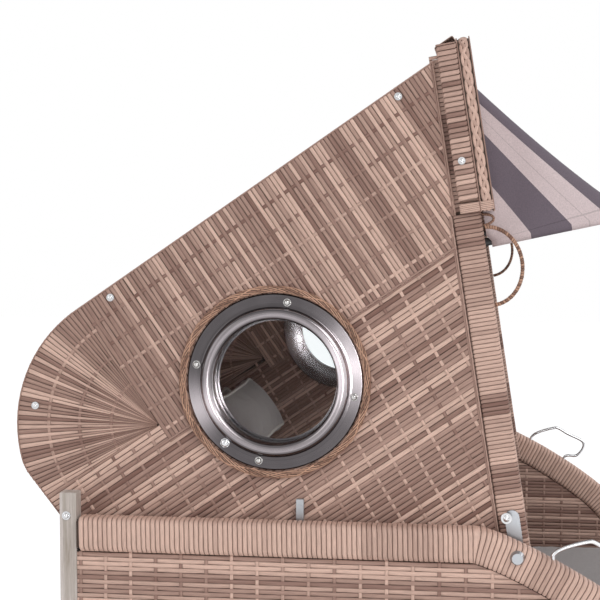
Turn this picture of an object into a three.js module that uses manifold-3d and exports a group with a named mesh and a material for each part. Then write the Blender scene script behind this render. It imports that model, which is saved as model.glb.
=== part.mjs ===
// Hooded beach chair for two: a woven hood that reclines on a woven basket base.
// Millimetres, +Z up, the seat faces -Y. The origin is on the ground, under the middle of the base.
// It stands as photographed, with the hood laid back about 20 degrees from upright.
import * as THREE from "three";
import { mergeVertices } from "three/addons/utils/BufferGeometryUtils.js";
import Module from "manifold-3d";

const wasm = await Module();
wasm.setup();

// Driving dimensions of the whole chair
const FIT = 0.3; // gap between pieces that touch
const CUT = 5; // overrun of every cutter past the faces it cuts
const HOOD_WIDTH = 1160; // over the outer faces of the hood's side panels
const HOOD_HEIGHT = 834; // pivot to the roof's front corner, along the front edge
const HOOD_DEPTH = 817; // pivot line to the rearmost point of the hood
const HOOD_LEAN = 8.85; // degrees that the hood's front edge leans back
const ROOF_SLOPE = 25.44; // degrees between the roof and a square to the front edge
const BACK_SLOPE = 61; // degrees of the back wall below that square
const REAR_INSET = 54; // rear posts' back, ahead of the hood's rearmost point
const PIVOT_FROM_FRONT = 340; // front of the arms to the hood's pivot
const PIVOT_HEIGHT = 740;
const SIDE_CLEARANCE = 24; // hood panel to base wall, where the gas struts stand
const PANEL = 28; // thickness of every woven side panel
const SHELL = 24; // thickness of the woven roof and back

// Places that follow from them
const HOOD_SIDE = HOOD_WIDTH / 2;
const PANEL_INNER = HOOD_SIDE - PANEL;
const WALL_INNER = HOOD_SIDE + SIDE_CLEARANCE;
const WALL_OUTER = WALL_INNER + PANEL;
const BASE_DEPTH = PIVOT_FROM_FRONT + HOOD_DEPTH - REAR_INSET; // front of the arms to the back of the rear posts
const BASE_FRONT = -BASE_DEPTH / 2;
const BASE_BACK = BASE_DEPTH / 2;
const PIVOT_Y = BASE_FRONT + PIVOT_FROM_FRONT;

const radians = THREE.MathUtils.degToRad;
const { PI, sin, cos, tan, abs, min, max, floor, round, sign } = Math;

// Finishes
const finish = (color, roughness, metalness) =>
  new THREE.MeshStandardMaterial({ color, roughness, metalness });
const weave = () => finish(0xa98a76, 0.75, 0);
const paleWrap = () => finish(0xc9ad9b, 0.7, 0);
const wood = () => finish(0xa79b90, 0.8, 0);
const steel = () => finish(0xc8cacc, 0.22, 1);
const cushionCloth = () => finish(0x8d8a8c, 0.95, 0);

// Shape helpers. A profile's first number runs to the rear and its second number upward.
const AXES_ALONG_X = new THREE.Matrix4().makeBasis(
  new THREE.Vector3(0, 1, 0),
  new THREE.Vector3(0, 0, 1),
  new THREE.Vector3(1, 0, 0)
);

function polygon(points) {
  return new THREE.Shape(points.map(([a, b]) => new THREE.Vector2(a, b)));
}

function rectangle(a0, b0, a1, b1) {
  return polygon([[a0, b0], [a1, b0], [a1, b1], [a0, b1]]);
}

function roundedRectangle(a0, b0, a1, b1, radius) {
  const shape = new THREE.Shape();
  shape.moveTo(a0 + radius, b0);
  shape.lineTo(a1 - radius, b0);
  shape.absarc(a1 - radius, b0 + radius, radius, -PI / 2, 0);
  shape.lineTo(a1, b1 - radius);
  shape.absarc(a1 - radius, b1 - radius, radius, 0, PI / 2);
  shape.lineTo(a0 + radius, b1);
  shape.absarc(a0 + radius, b1 - radius, radius, PI / 2, PI);
  shape.lineTo(a0, b0 + radius);
  shape.absarc(a0 + radius, b0 + radius, radius, PI, 1.5 * PI);
  return shape;
}

function circle(a, b, radius) {
  const path = new THREE.Shape();
  path.absarc(a, b, radius, 0, 2 * PI);
  return path;
}

// Extrudes a shape, with its edges rounded over by bevel where one is given
function extrude(shape, depth, bevel = 0, curveSegments = 6, bevelSegments = 2) {
  return new THREE.ExtrudeGeometry(shape, {
    depth: depth - 2 * bevel,
    curveSegments,
    bevelEnabled: bevel > 0,
    bevelThickness: bevel,
    bevelSize: bevel,
    bevelOffset: -bevel,
    bevelSegments,
    steps: 1,
  }).translate(0, 0, bevel);
}

// A (rear, up) profile from x0 to x1
function alongX(shape, x0, x1, bevel = 0, curveSegments = 6) {
  const geometry = extrude(shape, x1 - x0, bevel, curveSegments);
  return geometry.applyMatrix4(AXES_ALONG_X).translate(x0, 0, 0);
}

// A (x, up) profile from y0 to y1
function alongY(shape, y0, y1, bevel = 0, curveSegments = 6) {
  const geometry = extrude(shape, y1 - y0, bevel, curveSegments);
  return geometry.rotateX(PI / 2).translate(0, y1, 0);
}

// A (x, rear) profile from z0 to z1
function alongZ(shape, z0, z1, bevel = 0, curveSegments = 6) {
  return extrude(shape, z1 - z0, bevel, curveSegments).translate(0, 0, z0);
}

function box(x0, y0, z0, x1, y1, z1, bevel = 0) {
  return alongZ(rectangle(x0, y0, x1, y1), z0, z1, bevel);
}

// A solid of revolution whose profile lists [radius, distance along +X]
function turnedAlongX(profile, segments) {
  const points = profile.map(([radius, along]) => new THREE.Vector2(radius, along));
  return new THREE.LatheGeometry(points, segments).rotateZ(-PI / 2);
}

function rodAlongX(radius, x0, x1, segments = 20) {
  const rod = new THREE.CylinderGeometry(radius, radius, x1 - x0, segments);
  return rod.rotateZ(PI / 2).translate((x0 + x1) / 2, 0, 0);
}

// A path that turns at its stations only, so that long straights need no rings between them
class StationPath extends THREE.Curve {
  constructor(stations) {
    super();
    this.stations = stations;
  }
  getPoint(t) {
    const place = t * (this.stations.length - 1);
    const from = min(floor(place), this.stations.length - 2);
    return this.stations[from].clone().lerp(this.stations[from + 1], place - from);
  }
  getTangent(t) {
    const last = this.stations.length - 1;
    const at = round(t * last);
    const before = this.stations[max(at - 1, 0)].clone();
    const here = this.stations[at];
    const after = this.stations[min(at + 1, last)].clone();
    return after.sub(here).normalize().add(here.clone().sub(before).normalize()).normalize();
  }
  getUtoTmapping(u) {
    return u;
  }
}

// A round bar through a list of stations, with square ends
function bar(stations, radius, sides) {
  return new THREE.ExtrudeGeometry(circle(0, 0, radius), {
    steps: stations.length - 1,
    curveSegments: sides / 2,
    extrudePath: new StationPath(stations),
    bevelEnabled: false,
  });
}

function weld(geometry) {
  const bare = geometry.clone();
  for (const name of Object.keys(bare.attributes)) {
    if (name !== "position") {
      bare.deleteAttribute(name);
    }
  }
  return mergeVertices(bare, 1e-3);
}

function toSolid(geometry) {
  const welded = weld(geometry);
  return new wasm.Manifold(
    new wasm.Mesh({
      numProp: 3,
      vertProperties: new Float32Array(welded.attributes.position.array),
      triVerts: new Uint32Array(welded.index.array),
    })
  );
}

function toGeometry(solid) {
  const mesh = solid.getMesh();
  const geometry = new THREE.BufferGeometry();
  geometry.setAttribute("position", new THREE.BufferAttribute(new Float32Array(mesh.vertProperties), 3));
  geometry.setIndex([...mesh.triVerts]);
  geometry.computeVertexNormals();
  return geometry;
}

function joined(...geometries) {
  return toGeometry(geometries.map(toSolid).reduce((whole, piece) => whole.add(piece)));
}

function cut(geometry, ...cutters) {
  return toGeometry(cutters.map(toSolid).reduce((whole, piece) => whole.subtract(piece), toSolid(geometry)));
}

// The left-hand twin of a right-hand piece
function mirrored(geometry) {
  const twin = weld(geometry).applyMatrix4(new THREE.Matrix4().makeScale(-1, 1, 1));
  const corners = twin.index.array;
  for (let i = 0; i < corners.length; i += 3) {
    [corners[i + 1], corners[i + 2]] = [corners[i + 2], corners[i + 1]];
  }
  return twin;
}

const base = new THREE.Group();
const hood = new THREE.Group();
hood.position.set(0, PIVOT_Y, PIVOT_HEIGHT);
hood.rotation.x = -radians(HOOD_LEAN);

function add(group, name, geometry, material) {
  const mesh = new THREE.Mesh(geometry, material);
  mesh.name = name;
  group.add(mesh);
  return mesh;
}

function addPair(group, name, rightGeometry, material) {
  add(group, `${name}_right`, rightGeometry, material());
  add(group, `${name}_left`, mirrored(rightGeometry), material());
}

// Skids: three runners under the floor, with their ends cut up at a slant to pull over sand
const SKID_HEIGHT = 45;
const SKID_WIDTH = 50;
const SKID_RISE = 30; // height of the slanted end
const SKID_RUN = 60; // length of the slanted end
const SKID_INSET = 60; // outer skid's middle, from the base wall's outer face
const skidProfile = polygon([
  [BASE_FRONT + SKID_RUN, 0],
  [BASE_BACK - SKID_RUN, 0],
  [BASE_BACK, SKID_RISE],
  [BASE_BACK, SKID_HEIGHT],
  [BASE_FRONT, SKID_HEIGHT],
  [BASE_FRONT, SKID_RISE],
]);
const skidPlaces = { left: -(WALL_OUTER - SKID_INSET), centre: 0, right: WALL_OUTER - SKID_INSET };
for (const [side, x] of Object.entries(skidPlaces)) {
  add(base, `skid_${side}`, alongX(skidProfile, x - SKID_WIDTH / 2, x + SKID_WIDTH / 2), wood());
}

// Floor: boards over the skids with gaps that let sand fall through, held by solid strips at the sides
const FLOOR = 18; // thickness
const FLOOR_BOARDS = 9;
const BOARD_GAP = 14;
const FLOOR_Z = SKID_HEIGHT + FIT;
const FLOOR_TOP = FLOOR_Z + FLOOR;
const ARM_WIDTH = 46; // across the wrapped arm band
const ARM_OUTER = (WALL_INNER + WALL_OUTER) / 2 + ARM_WIDTH / 2;
const ARM_INNER = ARM_OUTER - ARM_WIDTH;
const STRIP_WIDTH = 70; // solid strip over each skid
const floorSlots = [];
const boardPitch = BASE_DEPTH / FLOOR_BOARDS;
const slotRuns = [
  [-(WALL_INNER - STRIP_WIDTH), -STRIP_WIDTH / 2],
  [STRIP_WIDTH / 2, WALL_INNER - STRIP_WIDTH],
];
for (let board = 1; board < FLOOR_BOARDS; board += 1) {
  const y = BASE_FRONT + board * boardPitch;
  for (const [x0, x1] of slotRuns) {
    floorSlots.push(box(x0, y - BOARD_GAP / 2, FLOOR_Z - CUT, x1, y + BOARD_GAP / 2, FLOOR_TOP + CUT));
  }
}
const floorPlate = box(-ARM_OUTER, BASE_FRONT, FLOOR_Z, ARM_OUTER, BASE_BACK, FLOOR_TOP);
add(base, "floor_boards", cut(floorPlate, ...floorSlots), wood());

// Rear posts: grey-washed slats that stand outside the hood, with their tops above the arms
const STAND_Z = FLOOR_TOP + FIT; // where everything on the floor starts
const POST_SLAT = 29; // front to back
const POST_OVER_PIVOT = 85;
const POST_TOP = PIVOT_HEIGHT + POST_OVER_PIVOT;
const REAR_POST_FRONT = BASE_BACK - POST_SLAT;
const SLAT_EDGE = 2;
addPair(
  base,
  "rear_post",
  alongZ(rectangle(WALL_INNER, REAR_POST_FRONT, WALL_OUTER, BASE_BACK), STAND_Z, POST_TOP, SLAT_EDGE),
  wood
);

// Arm bands: the wrapped edge of each base side, level at the back, falling in a long curve
// past the pivot, over a nose and down the front edge to the floor
const ARM_DEPTH = 58; // from the band's top to its lower edge
const ARM_EDGE = 12; // round of its edges
const ARM_CREST = 44; // band's top over the pivot, at the back
const ARM_LEVEL_TO = 70; // the level run ends this far behind the pivot
const ARM_SHOULDER = 40; // pull of the curve there
const ARM_FALL_RUN = 225; // pivot to the middle of the fall
const ARM_FALL = 114; // drop there, below the pivot
const ARM_FALL_SLOPE = 39; // degrees
const ARM_PULL = 128;
const NOSE_PULL = 60;
const NOSE_DROP = 330; // pivot to the end of the nose
const NOSE_ROUND = 90;
const armOutline = new THREE.CurvePath();
{
  const at = (rear, up) => new THREE.Vector2(PIVOT_Y + rear, PIVOT_HEIGHT + up);
  const fall = [cos(radians(ARM_FALL_SLOPE)), sin(radians(ARM_FALL_SLOPE))];
  const back = new THREE.Vector2(REAR_POST_FRONT - FIT, PIVOT_HEIGHT + ARM_CREST);
  const shoulder = at(ARM_LEVEL_TO, ARM_CREST);
  const middle = at(-ARM_FALL_RUN, -ARM_FALL);
  const nose = at(-PIVOT_FROM_FRONT, -NOSE_DROP);
  armOutline.add(new THREE.LineCurve(back, shoulder));
  armOutline.add(
    new THREE.CubicBezierCurve(
      shoulder,
      at(ARM_LEVEL_TO - ARM_SHOULDER, ARM_CREST),
      at(-ARM_FALL_RUN + ARM_PULL * fall[0], -ARM_FALL + ARM_PULL * fall[1]),
      middle
    )
  );
  armOutline.add(
    new THREE.CubicBezierCurve(
      middle,
      at(-ARM_FALL_RUN - NOSE_PULL * fall[0], -ARM_FALL - NOSE_PULL * fall[1]),
      at(-PIVOT_FROM_FRONT, -NOSE_DROP + NOSE_ROUND),
      nose
    )
  );
  armOutline.add(new THREE.LineCurve(nose, new THREE.Vector2(BASE_FRONT, STAND_Z)));
}

// The arm's outline, moved inward by an offset, from the back to the foot
const ARM_STEPS = [1, 10, 8, 1];
function armLine(offset) {
  const points = [];
  armOutline.curves.forEach((piece, number) => {
    for (let i = number ? 1 : 0; i <= ARM_STEPS[number]; i += 1) {
      const t = i / ARM_STEPS[number];
      const place = piece.getPoint(t);
      const along = piece.getTangent(t);
      points.push([place.x - along.y * offset, place.y + along.x * offset]);
    }
  });
  return points;
}

const PIVOT_BOLT = 6; // radius of its shank
const PIVOT_PLAY = 0.5; // running gap on the radius
const pivotBore = rodAlongX(PIVOT_BOLT + PIVOT_PLAY, 0, WALL_OUTER + ARM_WIDTH, 20);
const pivotBoreInBase = pivotBore.clone().translate(0, PIVOT_Y, PIVOT_HEIGHT);
const armShape = polygon([...armLine(0), ...armLine(ARM_DEPTH).reverse()]);
const armBand = alongX(armShape, ARM_INNER, ARM_OUTER, ARM_EDGE);
addPair(base, "arm_band", cut(armBand, pivotBoreInBase), paleWrap);

// Base side walls: woven panels that fill the curve of the band
const wallTop = armLine(ARM_DEPTH + FIT);
const wallFront = wallTop[wallTop.length - 1][0];
const wallShape = polygon([...wallTop, [REAR_POST_FRONT - FIT, STAND_Z]]);
addPair(base, "base_side", alongX(wallShape, WALL_INNER, WALL_OUTER), weave);

// Rear wall: a low woven wall with a wrapped roll on top, under the path of the hood
const REAR_WALL_TOP = 520;
const REAR_WALL = 22;
const REAR_ROLL = 19; // radius
const rearWallY = BASE_BACK - POST_SLAT / 2;
const rearWall = box(
  -WALL_INNER + FIT, rearWallY - REAR_WALL / 2, STAND_Z, WALL_INNER - FIT, rearWallY + REAR_WALL / 2, REAR_WALL_TOP
);
const rearRoll = rodAlongX(REAR_ROLL, -WALL_INNER + FIT, WALL_INNER - FIT, 20).translate(0, rearWallY, REAR_WALL_TOP);
add(base, "rear_wall", joined(rearWall, rearRoll), weave());

// Front panel: woven, with a rail on top and two bays that the footrests pull out of
const FRONT_PANEL = 24;
const FRONT_SETBACK = 10; // behind the arms' front edge
const DECK = 18;
const DECK_TOP = 400;
const BAY_HEIGHT = 330; // top of each bay, from the ground
const PARTITION = 18;
const DECK_PLAY = 4; // beside the deck, inside the hood's panels
const DECK_SIDE = PANEL_INNER - DECK_PLAY;
const BAY_EDGE = 5; // strip of the front panel beside each upright board
const BAY_INNER = PARTITION / 2 + BAY_EDGE;
const BAY_OUTER = DECK_SIDE - PARTITION - BAY_EDGE;
const FRONT_SIDE = ARM_INNER - FIT;
const frontPanelY = BASE_FRONT + FRONT_SETBACK;
const frontPanelBack = frontPanelY + FRONT_PANEL;
const frontShape = polygon([
  [-FRONT_SIDE, STAND_Z],
  [-BAY_OUTER, STAND_Z],
  [-BAY_OUTER, BAY_HEIGHT],
  [-BAY_INNER, BAY_HEIGHT],
  [-BAY_INNER, STAND_Z],
  [BAY_INNER, STAND_Z],
  [BAY_INNER, BAY_HEIGHT],
  [BAY_OUTER, BAY_HEIGHT],
  [BAY_OUTER, STAND_Z],
  [FRONT_SIDE, STAND_Z],
  [FRONT_SIDE, DECK_TOP],
  [-FRONT_SIDE, DECK_TOP],
]);
add(base, "front_panel", alongY(frontShape, frontPanelY, frontPanelBack), weave());

// Seat box: three upright boards that carry the seat deck and guide the footrests
const SEAT_TO_REAR = 532; // seat cushions' back to the hood's rearmost point
const PARTITION_SETBACK = 94; // upright boards end this far ahead of the seat cushions' back
const boxFront = frontPanelBack + FIT;
const seatBack = PIVOT_Y + HOOD_DEPTH - SEAT_TO_REAR;
const partitionBack = seatBack - PARTITION_SETBACK;
const deckUnderside = DECK_TOP - DECK;
const boardUpright = (x0, x1) => box(x0, boxFront, STAND_Z, x1, partitionBack, deckUnderside - FIT);
add(base, "centre_partition", boardUpright(-PARTITION / 2, PARTITION / 2), wood());
addPair(base, "side_partition", boardUpright(DECK_SIDE - PARTITION, DECK_SIDE), wood);

// Seat deck: slats with gaps, on the upright boards
const DECK_SETBACK = 40; // the deck ends this far ahead of the seat cushions' back
const deckBack = seatBack - DECK_SETBACK;
const DECK_SLATS = 6;
const DECK_GAP = 16;
const DECK_STRIP = 40;
const deckSlots = [];
const slatPitch = (deckBack - boxFront) / DECK_SLATS;
for (let slat = 1; slat < DECK_SLATS; slat += 1) {
  const y = boxFront + slat * slatPitch;
  for (const side of [-1, 1]) {
    const near = side * (DECK_STRIP / 2);
    const far = side * (DECK_SIDE - DECK_STRIP);
    deckSlots.push(
      box(min(near, far), y - DECK_GAP / 2, deckUnderside - CUT, max(near, far), y + DECK_GAP / 2, DECK_TOP + CUT)
    );
  }
}
const deckPlate = box(-DECK_SIDE, boxFront, deckUnderside, DECK_SIDE, deckBack, DECK_TOP);
add(base, "seat_deck", cut(deckPlate, ...deckSlots), wood());

// A stuffed cushion, middle at the origin: crowned on top, flat below where it rests,
// with sides that draw in between the corners
function cushionForm({ width, length, height, drawIn, crownShare, columns, rows }) {
  const points = [];
  const triangles = [];
  const edgePower = 7;
  const roundPower = 0.3;
  const flatShare = 0.8;
  const place = (i, j, top) => {
    const s = sin((PI / 2) * ((2 * i) / columns - 1));
    const t = sin((PI / 2) * ((2 * j) / rows - 1));
    const full = max(0, (1 - abs(s) ** edgePower) * (1 - abs(t) ** edgePower)) ** roundPower;
    const crown = 1 - crownShare * (s * s + t * t) / 2;
    const lift = top ? full * crown : -min(1, full / flatShare);
    const x = s * (width / 2 - drawIn * (1 - t * t));
    const y = t * (length / 2 - drawIn * (1 - s * s));
    return [x, y, (height / 2) * lift];
  };
  const numbers = { true: new Map(), false: new Map() };
  for (const top of [true, false]) {
    for (let j = 0; j <= rows; j += 1) {
      for (let i = 0; i <= columns; i += 1) {
        const rim = i === 0 || j === 0 || i === columns || j === rows;
        const key = `${i},${j}`;
        if (!top && rim) {
          numbers[top].set(key, numbers[true].get(key));
          continue;
        }
        numbers[top].set(key, points.length / 3);
        points.push(...place(i, j, top));
      }
    }
    for (let j = 0; j < rows; j += 1) {
      for (let i = 0; i < columns; i += 1) {
        const [a, b, c, d] = [[i, j], [i + 1, j], [i + 1, j + 1], [i, j + 1]].map((corner) =>
          numbers[top].get(corner.join(","))
        );
        triangles.push(...(top ? [a, b, c, a, c, d] : [a, c, b, a, d, c]));
      }
    }
  }
  const geometry = new THREE.BufferGeometry();
  geometry.setAttribute("position", new THREE.Float32BufferAttribute(points, 3));
  geometry.setIndex(triangles);
  geometry.computeVertexNormals();
  return geometry;
}

// Seat cushions: two, side by side on the deck
const SEAT_CUSHION = 98; // thickness
const SEAT_FRONT = 6; // front edge, behind the arms' front
const CUSHION_DRAW = 7;
const CUSHION_SIDE = 7; // cushion to hood panel
const CUSHION_PARTING = 3; // cushion to the middle
const cushionWidth = PANEL_INNER - CUSHION_SIDE - CUSHION_PARTING;
const cushionMiddle = CUSHION_PARTING + cushionWidth / 2;
const seatLength = seatBack - BASE_FRONT - SEAT_FRONT;
const seatCushion = cushionForm({
  width: cushionWidth,
  length: seatLength,
  height: SEAT_CUSHION,
  drawIn: CUSHION_DRAW,
  crownShare: 0.22,
  columns: 12,
  rows: 12,
}).translate(cushionMiddle, BASE_FRONT + SEAT_FRONT + seatLength / 2, DECK_TOP + FIT + SEAT_CUSHION / 2);
addPair(base, "seat_cushion", seatCushion, cushionCloth);

// Footrests: wooden boxes on the floor boards, each with a woven front, a pad and a turned knob
const BAY_PLAY = 2; // beside the box
const FOOTREST_HEIGHT = 190;
const FOOTREST_SETBACK = 6; // its back, ahead of the upright boards' back
const FOOTREST_BOARD = 16;
const footX0 = BAY_INNER + BAY_PLAY;
const footX1 = BAY_OUTER - BAY_PLAY;
const footZ0 = STAND_Z;
const footZ1 = footZ0 + FOOTREST_HEIGHT;
const footFront = frontPanelY;
const footBack = partitionBack - FOOTREST_SETBACK;
const footBox = box(footX0, footFront, footZ0, footX1, footBack, footZ1);
const footHollow = box(
  footX0 + FOOTREST_BOARD, footFront + FOOTREST_BOARD, footZ0 - CUT,
  footX1 - FOOTREST_BOARD, footBack + CUT, footZ1 - FOOTREST_BOARD
);
addPair(base, "footrest", cut(footBox, footHollow), weave);
const FOOT_PAD = 62;
const footPad = cushionForm({
  width: footX1 - footX0 - 2 * BAY_PLAY,
  length: footBack - footFront - 2 * BAY_PLAY,
  height: FOOT_PAD,
  drawIn: CUSHION_DRAW / 2,
  crownShare: 0.3,
  columns: 8,
  rows: 8,
}).translate((footX0 + footX1) / 2, (footFront + footBack) / 2, footZ1 + FIT + FOOT_PAD / 2);
addPair(base, "footrest_pad", footPad, cushionCloth);
const KNOB_LENGTH = 30;
const KNOB_RADIUS = 17;
const KNOB_NECK = 9;
const knob = new THREE.LatheGeometry(
  [
    [0, 0],
    [KNOB_NECK, 0],
    [KNOB_NECK, KNOB_LENGTH / 3],
    [KNOB_RADIUS, KNOB_LENGTH / 2],
    [KNOB_RADIUS, (KNOB_LENGTH * 5) / 6],
    [KNOB_NECK, KNOB_LENGTH],
    [0, KNOB_LENGTH],
  ].map(([radius, along]) => new THREE.Vector2(radius, along)),
  16
).rotateX(PI);
knob.translate((footX0 + footX1) / 2, footFront - FIT, (footZ0 + footZ1) / 2);
addPair(base, "footrest_knob", knob, wood);

// Wire loops: bright bent wire on the fall of each arm, with both feet on the band
const WIRE = 3.5; // radius
const WIRE_STEPS = 24;
const wirePlaceShares = [
  [-0.166, -0.05],
  [-0.172, 0.004],
  [-0.225, 0.04],
  [-0.325, 0.07],
  [-0.365, 0.068],
  [-0.43, 0.03],
  [-0.52, -0.012],
  [-0.545, -0.045],
  [-0.53, -0.09],
  [-0.49, -0.128],
  [-0.44, -0.128],
  [-0.41, -0.138],
  [-0.4, -0.18],
];
const wireCurve = new THREE.CatmullRomCurve3(
  wirePlaceShares.map(
    ([rear, up]) =>
      new THREE.Vector3((ARM_INNER + ARM_OUTER) / 2, PIVOT_Y + rear * PIVOT_FROM_FRONT, PIVOT_HEIGHT + up * PIVOT_FROM_FRONT)
  )
);
const wireLoop = bar(wireCurve.getSpacedPoints(WIRE_STEPS), WIRE, 8);
const armSeat = alongX(
  polygon([...armLine(-FIT), ...armLine(ARM_DEPTH).reverse()]), ARM_INNER - CUT, ARM_OUTER + CUT
);
addPair(base, "wire_loop", cut(wireLoop, armSeat), steel);

// Hood outline, in the hood's own frame: u runs rearward square to the front edge, v along the
// front edge, and the pivot is at zero. The roof meets the rear arc at a tangent, a tighter arc
// turns into the straight back.
const REAR_RADIUS = 240;
const LOWER_RADIUS = 78;
const LOWER_START = -5; // degrees below square where the tighter arc begins
const BACK_LENGTH = 713; // straight of the back wall
const POST_FRONT = 23; // front face of the front posts, ahead of the pivot
const POST_WIDTH = 47;
const POST_THICK = 44;
const POST_BACK = POST_WIDTH - POST_FRONT;
const roofV = (u) => HOOD_HEIGHT - tan(radians(ROOF_SLOPE)) * (u + POST_FRONT);
const rearU = HOOD_DEPTH - REAR_RADIUS;
const rearV = roofV(rearU) - REAR_RADIUS / cos(radians(ROOF_SLOPE));
const backNormal = BACK_SLOPE - 90; // degrees, of the back wall's outward direction
const lowerU = rearU + (REAR_RADIUS - LOWER_RADIUS) * cos(radians(LOWER_START));
const lowerV = rearV + (REAR_RADIUS - LOWER_RADIUS) * sin(radians(LOWER_START));
const backDirection = [-cos(radians(BACK_SLOPE)), -sin(radians(BACK_SLOPE))];
const backAt = (inset) => [
  lowerU + (LOWER_RADIUS - inset) * cos(radians(backNormal)),
  lowerV + (LOWER_RADIUS - inset) * sin(radians(backNormal)),
];
// A point on the back wall, a distance below the end of the arcs and an inset from its outer face
const onBack = (down, inset) => {
  const [u, v] = backAt(inset);
  return [u + backDirection[0] * down, v + backDirection[1] * down];
};
const ARC_STEPS = 12;
const LOWER_STEPS = 4;
// The outline from the roof at frontU to the lower end of the back, inset from the outer face
function hoodLine(frontU, inset) {
  const drop = inset / cos(radians(ROOF_SLOPE));
  const points = [[frontU, roofV(frontU) - drop]];
  for (let i = 0; i <= ARC_STEPS; i += 1) {
    const angle = radians(90 - ROOF_SLOPE + ((LOWER_START - (90 - ROOF_SLOPE)) * i) / ARC_STEPS);
    points.push([rearU + (REAR_RADIUS - inset) * cos(angle), rearV + (REAR_RADIUS - inset) * sin(angle)]);
  }
  for (let i = 1; i <= LOWER_STEPS; i += 1) {
    const angle = radians(LOWER_START + ((backNormal - LOWER_START) * i) / LOWER_STEPS);
    points.push([lowerU + (LOWER_RADIUS - inset) * cos(angle), lowerV + (LOWER_RADIUS - inset) * sin(angle)]);
  }
  points.push(onBack(BACK_LENGTH, inset));
  return points;
}

// Hood side panels: woven, with the porthole's opening and a blind bore for the strut's pin
const PANEL_FOOT = -45; // lowest point of the front edge, from the pivot
const PORT_U = 357.4;
const PORT_V = 330.5;
const GLASS_RADIUS = 102.7; // clear opening of the porthole
const PORT_TUBE = 3; // wall of the porthole's sleeve
const SLEEVE_PLAY = 1.5; // round the sleeve
const SLEEVE_RADIUS = GLASS_RADIUS + PORT_TUBE;
const PORT_HOLE = SLEEVE_RADIUS + SLEEVE_PLAY;
const STUD_U = 346;
const STUD_V = 117.6;
const STRUT_PIN = 4; // radius of the struts' pins
const STUD_DEPTH = 14;
const panelShape = polygon([
  [POST_BACK + FIT, PANEL_FOOT],
  ...hoodLine(POST_BACK + FIT, 0),
  onBack(BACK_LENGTH, SHELL),
].reverse());
panelShape.holes.push(circle(PORT_U, PORT_V, PORT_HOLE));
const sidePanel = alongX(panelShape, PANEL_INNER, HOOD_SIDE, 0, 20);
const studBore = rodAlongX(STRUT_PIN + FIT, HOOD_SIDE - STUD_DEPTH, HOOD_SIDE + CUT, 16).translate(0, STUD_U, STUD_V);
addPair(hood, "hood_side", cut(sidePanel, studBore), weave);

// Front posts: wrapped bars from the pivot to the roof, round at the foot
const POST_FOOT = -52;
const POST_ROUND = 16;
const POST_EDGE = 5;
const postShape = polygon([
  [-POST_FRONT, roofV(-POST_FRONT)],
  [-POST_FRONT, POST_FOOT + POST_ROUND],
  [-POST_FRONT + POST_ROUND, POST_FOOT],
  [POST_BACK - POST_ROUND, POST_FOOT],
  [POST_BACK, POST_FOOT + POST_ROUND],
  [POST_BACK, roofV(POST_BACK)],
]);
const POST_INNER = HOOD_SIDE - POST_THICK;
const postSolid = alongX(postShape, POST_INNER, HOOD_SIDE, POST_EDGE);
const HINGE_V = 507; // awning hinge over the pivot
const BOW_PIN = 4; // radius
const BOW_PIN_LENGTH = 16;
const BORE_SPARE = 1; // blind bores go this far past their pins
const hingeBore = rodAlongX(BOW_PIN + PIVOT_PLAY, POST_INNER - CUT, POST_INNER + BOW_PIN_LENGTH + BORE_SPARE, 16);
addPair(hood, "front_post", cut(postSolid, pivotBore, hingeBore.translate(0, 0, HINGE_V)), paleWrap);

// Roof and back: one woven shell between the side panels, with a header rail at the mouth
const HEADER_DROP = 52; // roof's top to the header's underside, at the front
const shellSide = PANEL_INNER - FIT;
const shellShape = polygon([...hoodLine(-POST_FRONT, SHELL).reverse(), ...hoodLine(-POST_FRONT, 0)]);
const headerShape = polygon([
  [-POST_FRONT, HOOD_HEIGHT - HEADER_DROP],
  [POST_BACK, HOOD_HEIGHT - HEADER_DROP],
  [POST_BACK, roofV(POST_BACK) - FIT],
  [-POST_FRONT, roofV(-POST_FRONT) - FIT],
]);
const postClearance = (x0, x1) =>
  box(x0, -POST_FRONT - CUT, HOOD_HEIGHT / 2, x1, POST_BACK + FIT, HOOD_HEIGHT + HOOD_HEIGHT / 2);
const shell = joined(alongX(shellShape, -shellSide, shellSide), alongX(headerShape, -POST_INNER, POST_INNER));
add(
  hood,
  "hood_shell",
  cut(
    shell,
    postClearance(POST_INNER - FIT, HOOD_SIDE),
    postClearance(-HOOD_SIDE, -POST_INNER + FIT)
  ),
  weave()
);

// Visor: a wrapped frame over the mouth of the hood, proud of the posts and the roof
const VISOR_PROUD = 16;
const VISOR_BACK = 10; // rear edge, behind the pivot line
const VISOR_FOOT = 560;
const visorFront = -POST_FRONT - FIT;
const visorSide = HOOD_SIDE + FIT;
const visorOuter = visorSide + VISOR_PROUD;
const visorTop = (u) => roofV(u) + FIT + VISOR_PROUD;
const visorLeg = polygon([
  [visorFront, VISOR_FOOT],
  [VISOR_BACK, VISOR_FOOT],
  [VISOR_BACK, visorTop(VISOR_BACK)],
  [visorFront, visorTop(visorFront)],
]);
const visorBar = polygon([
  [visorFront, roofV(visorFront) + FIT],
  [VISOR_BACK, roofV(VISOR_BACK) + FIT],
  [VISOR_BACK, visorTop(VISOR_BACK)],
  [visorFront, visorTop(visorFront)],
]);
add(
  hood,
  "visor",
  joined(
    alongX(visorLeg, visorSide, visorOuter),
    alongX(visorLeg, -visorOuter, -visorSide),
    alongX(visorBar, -visorOuter, visorOuter)
  ),
  paleWrap()
);

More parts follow.
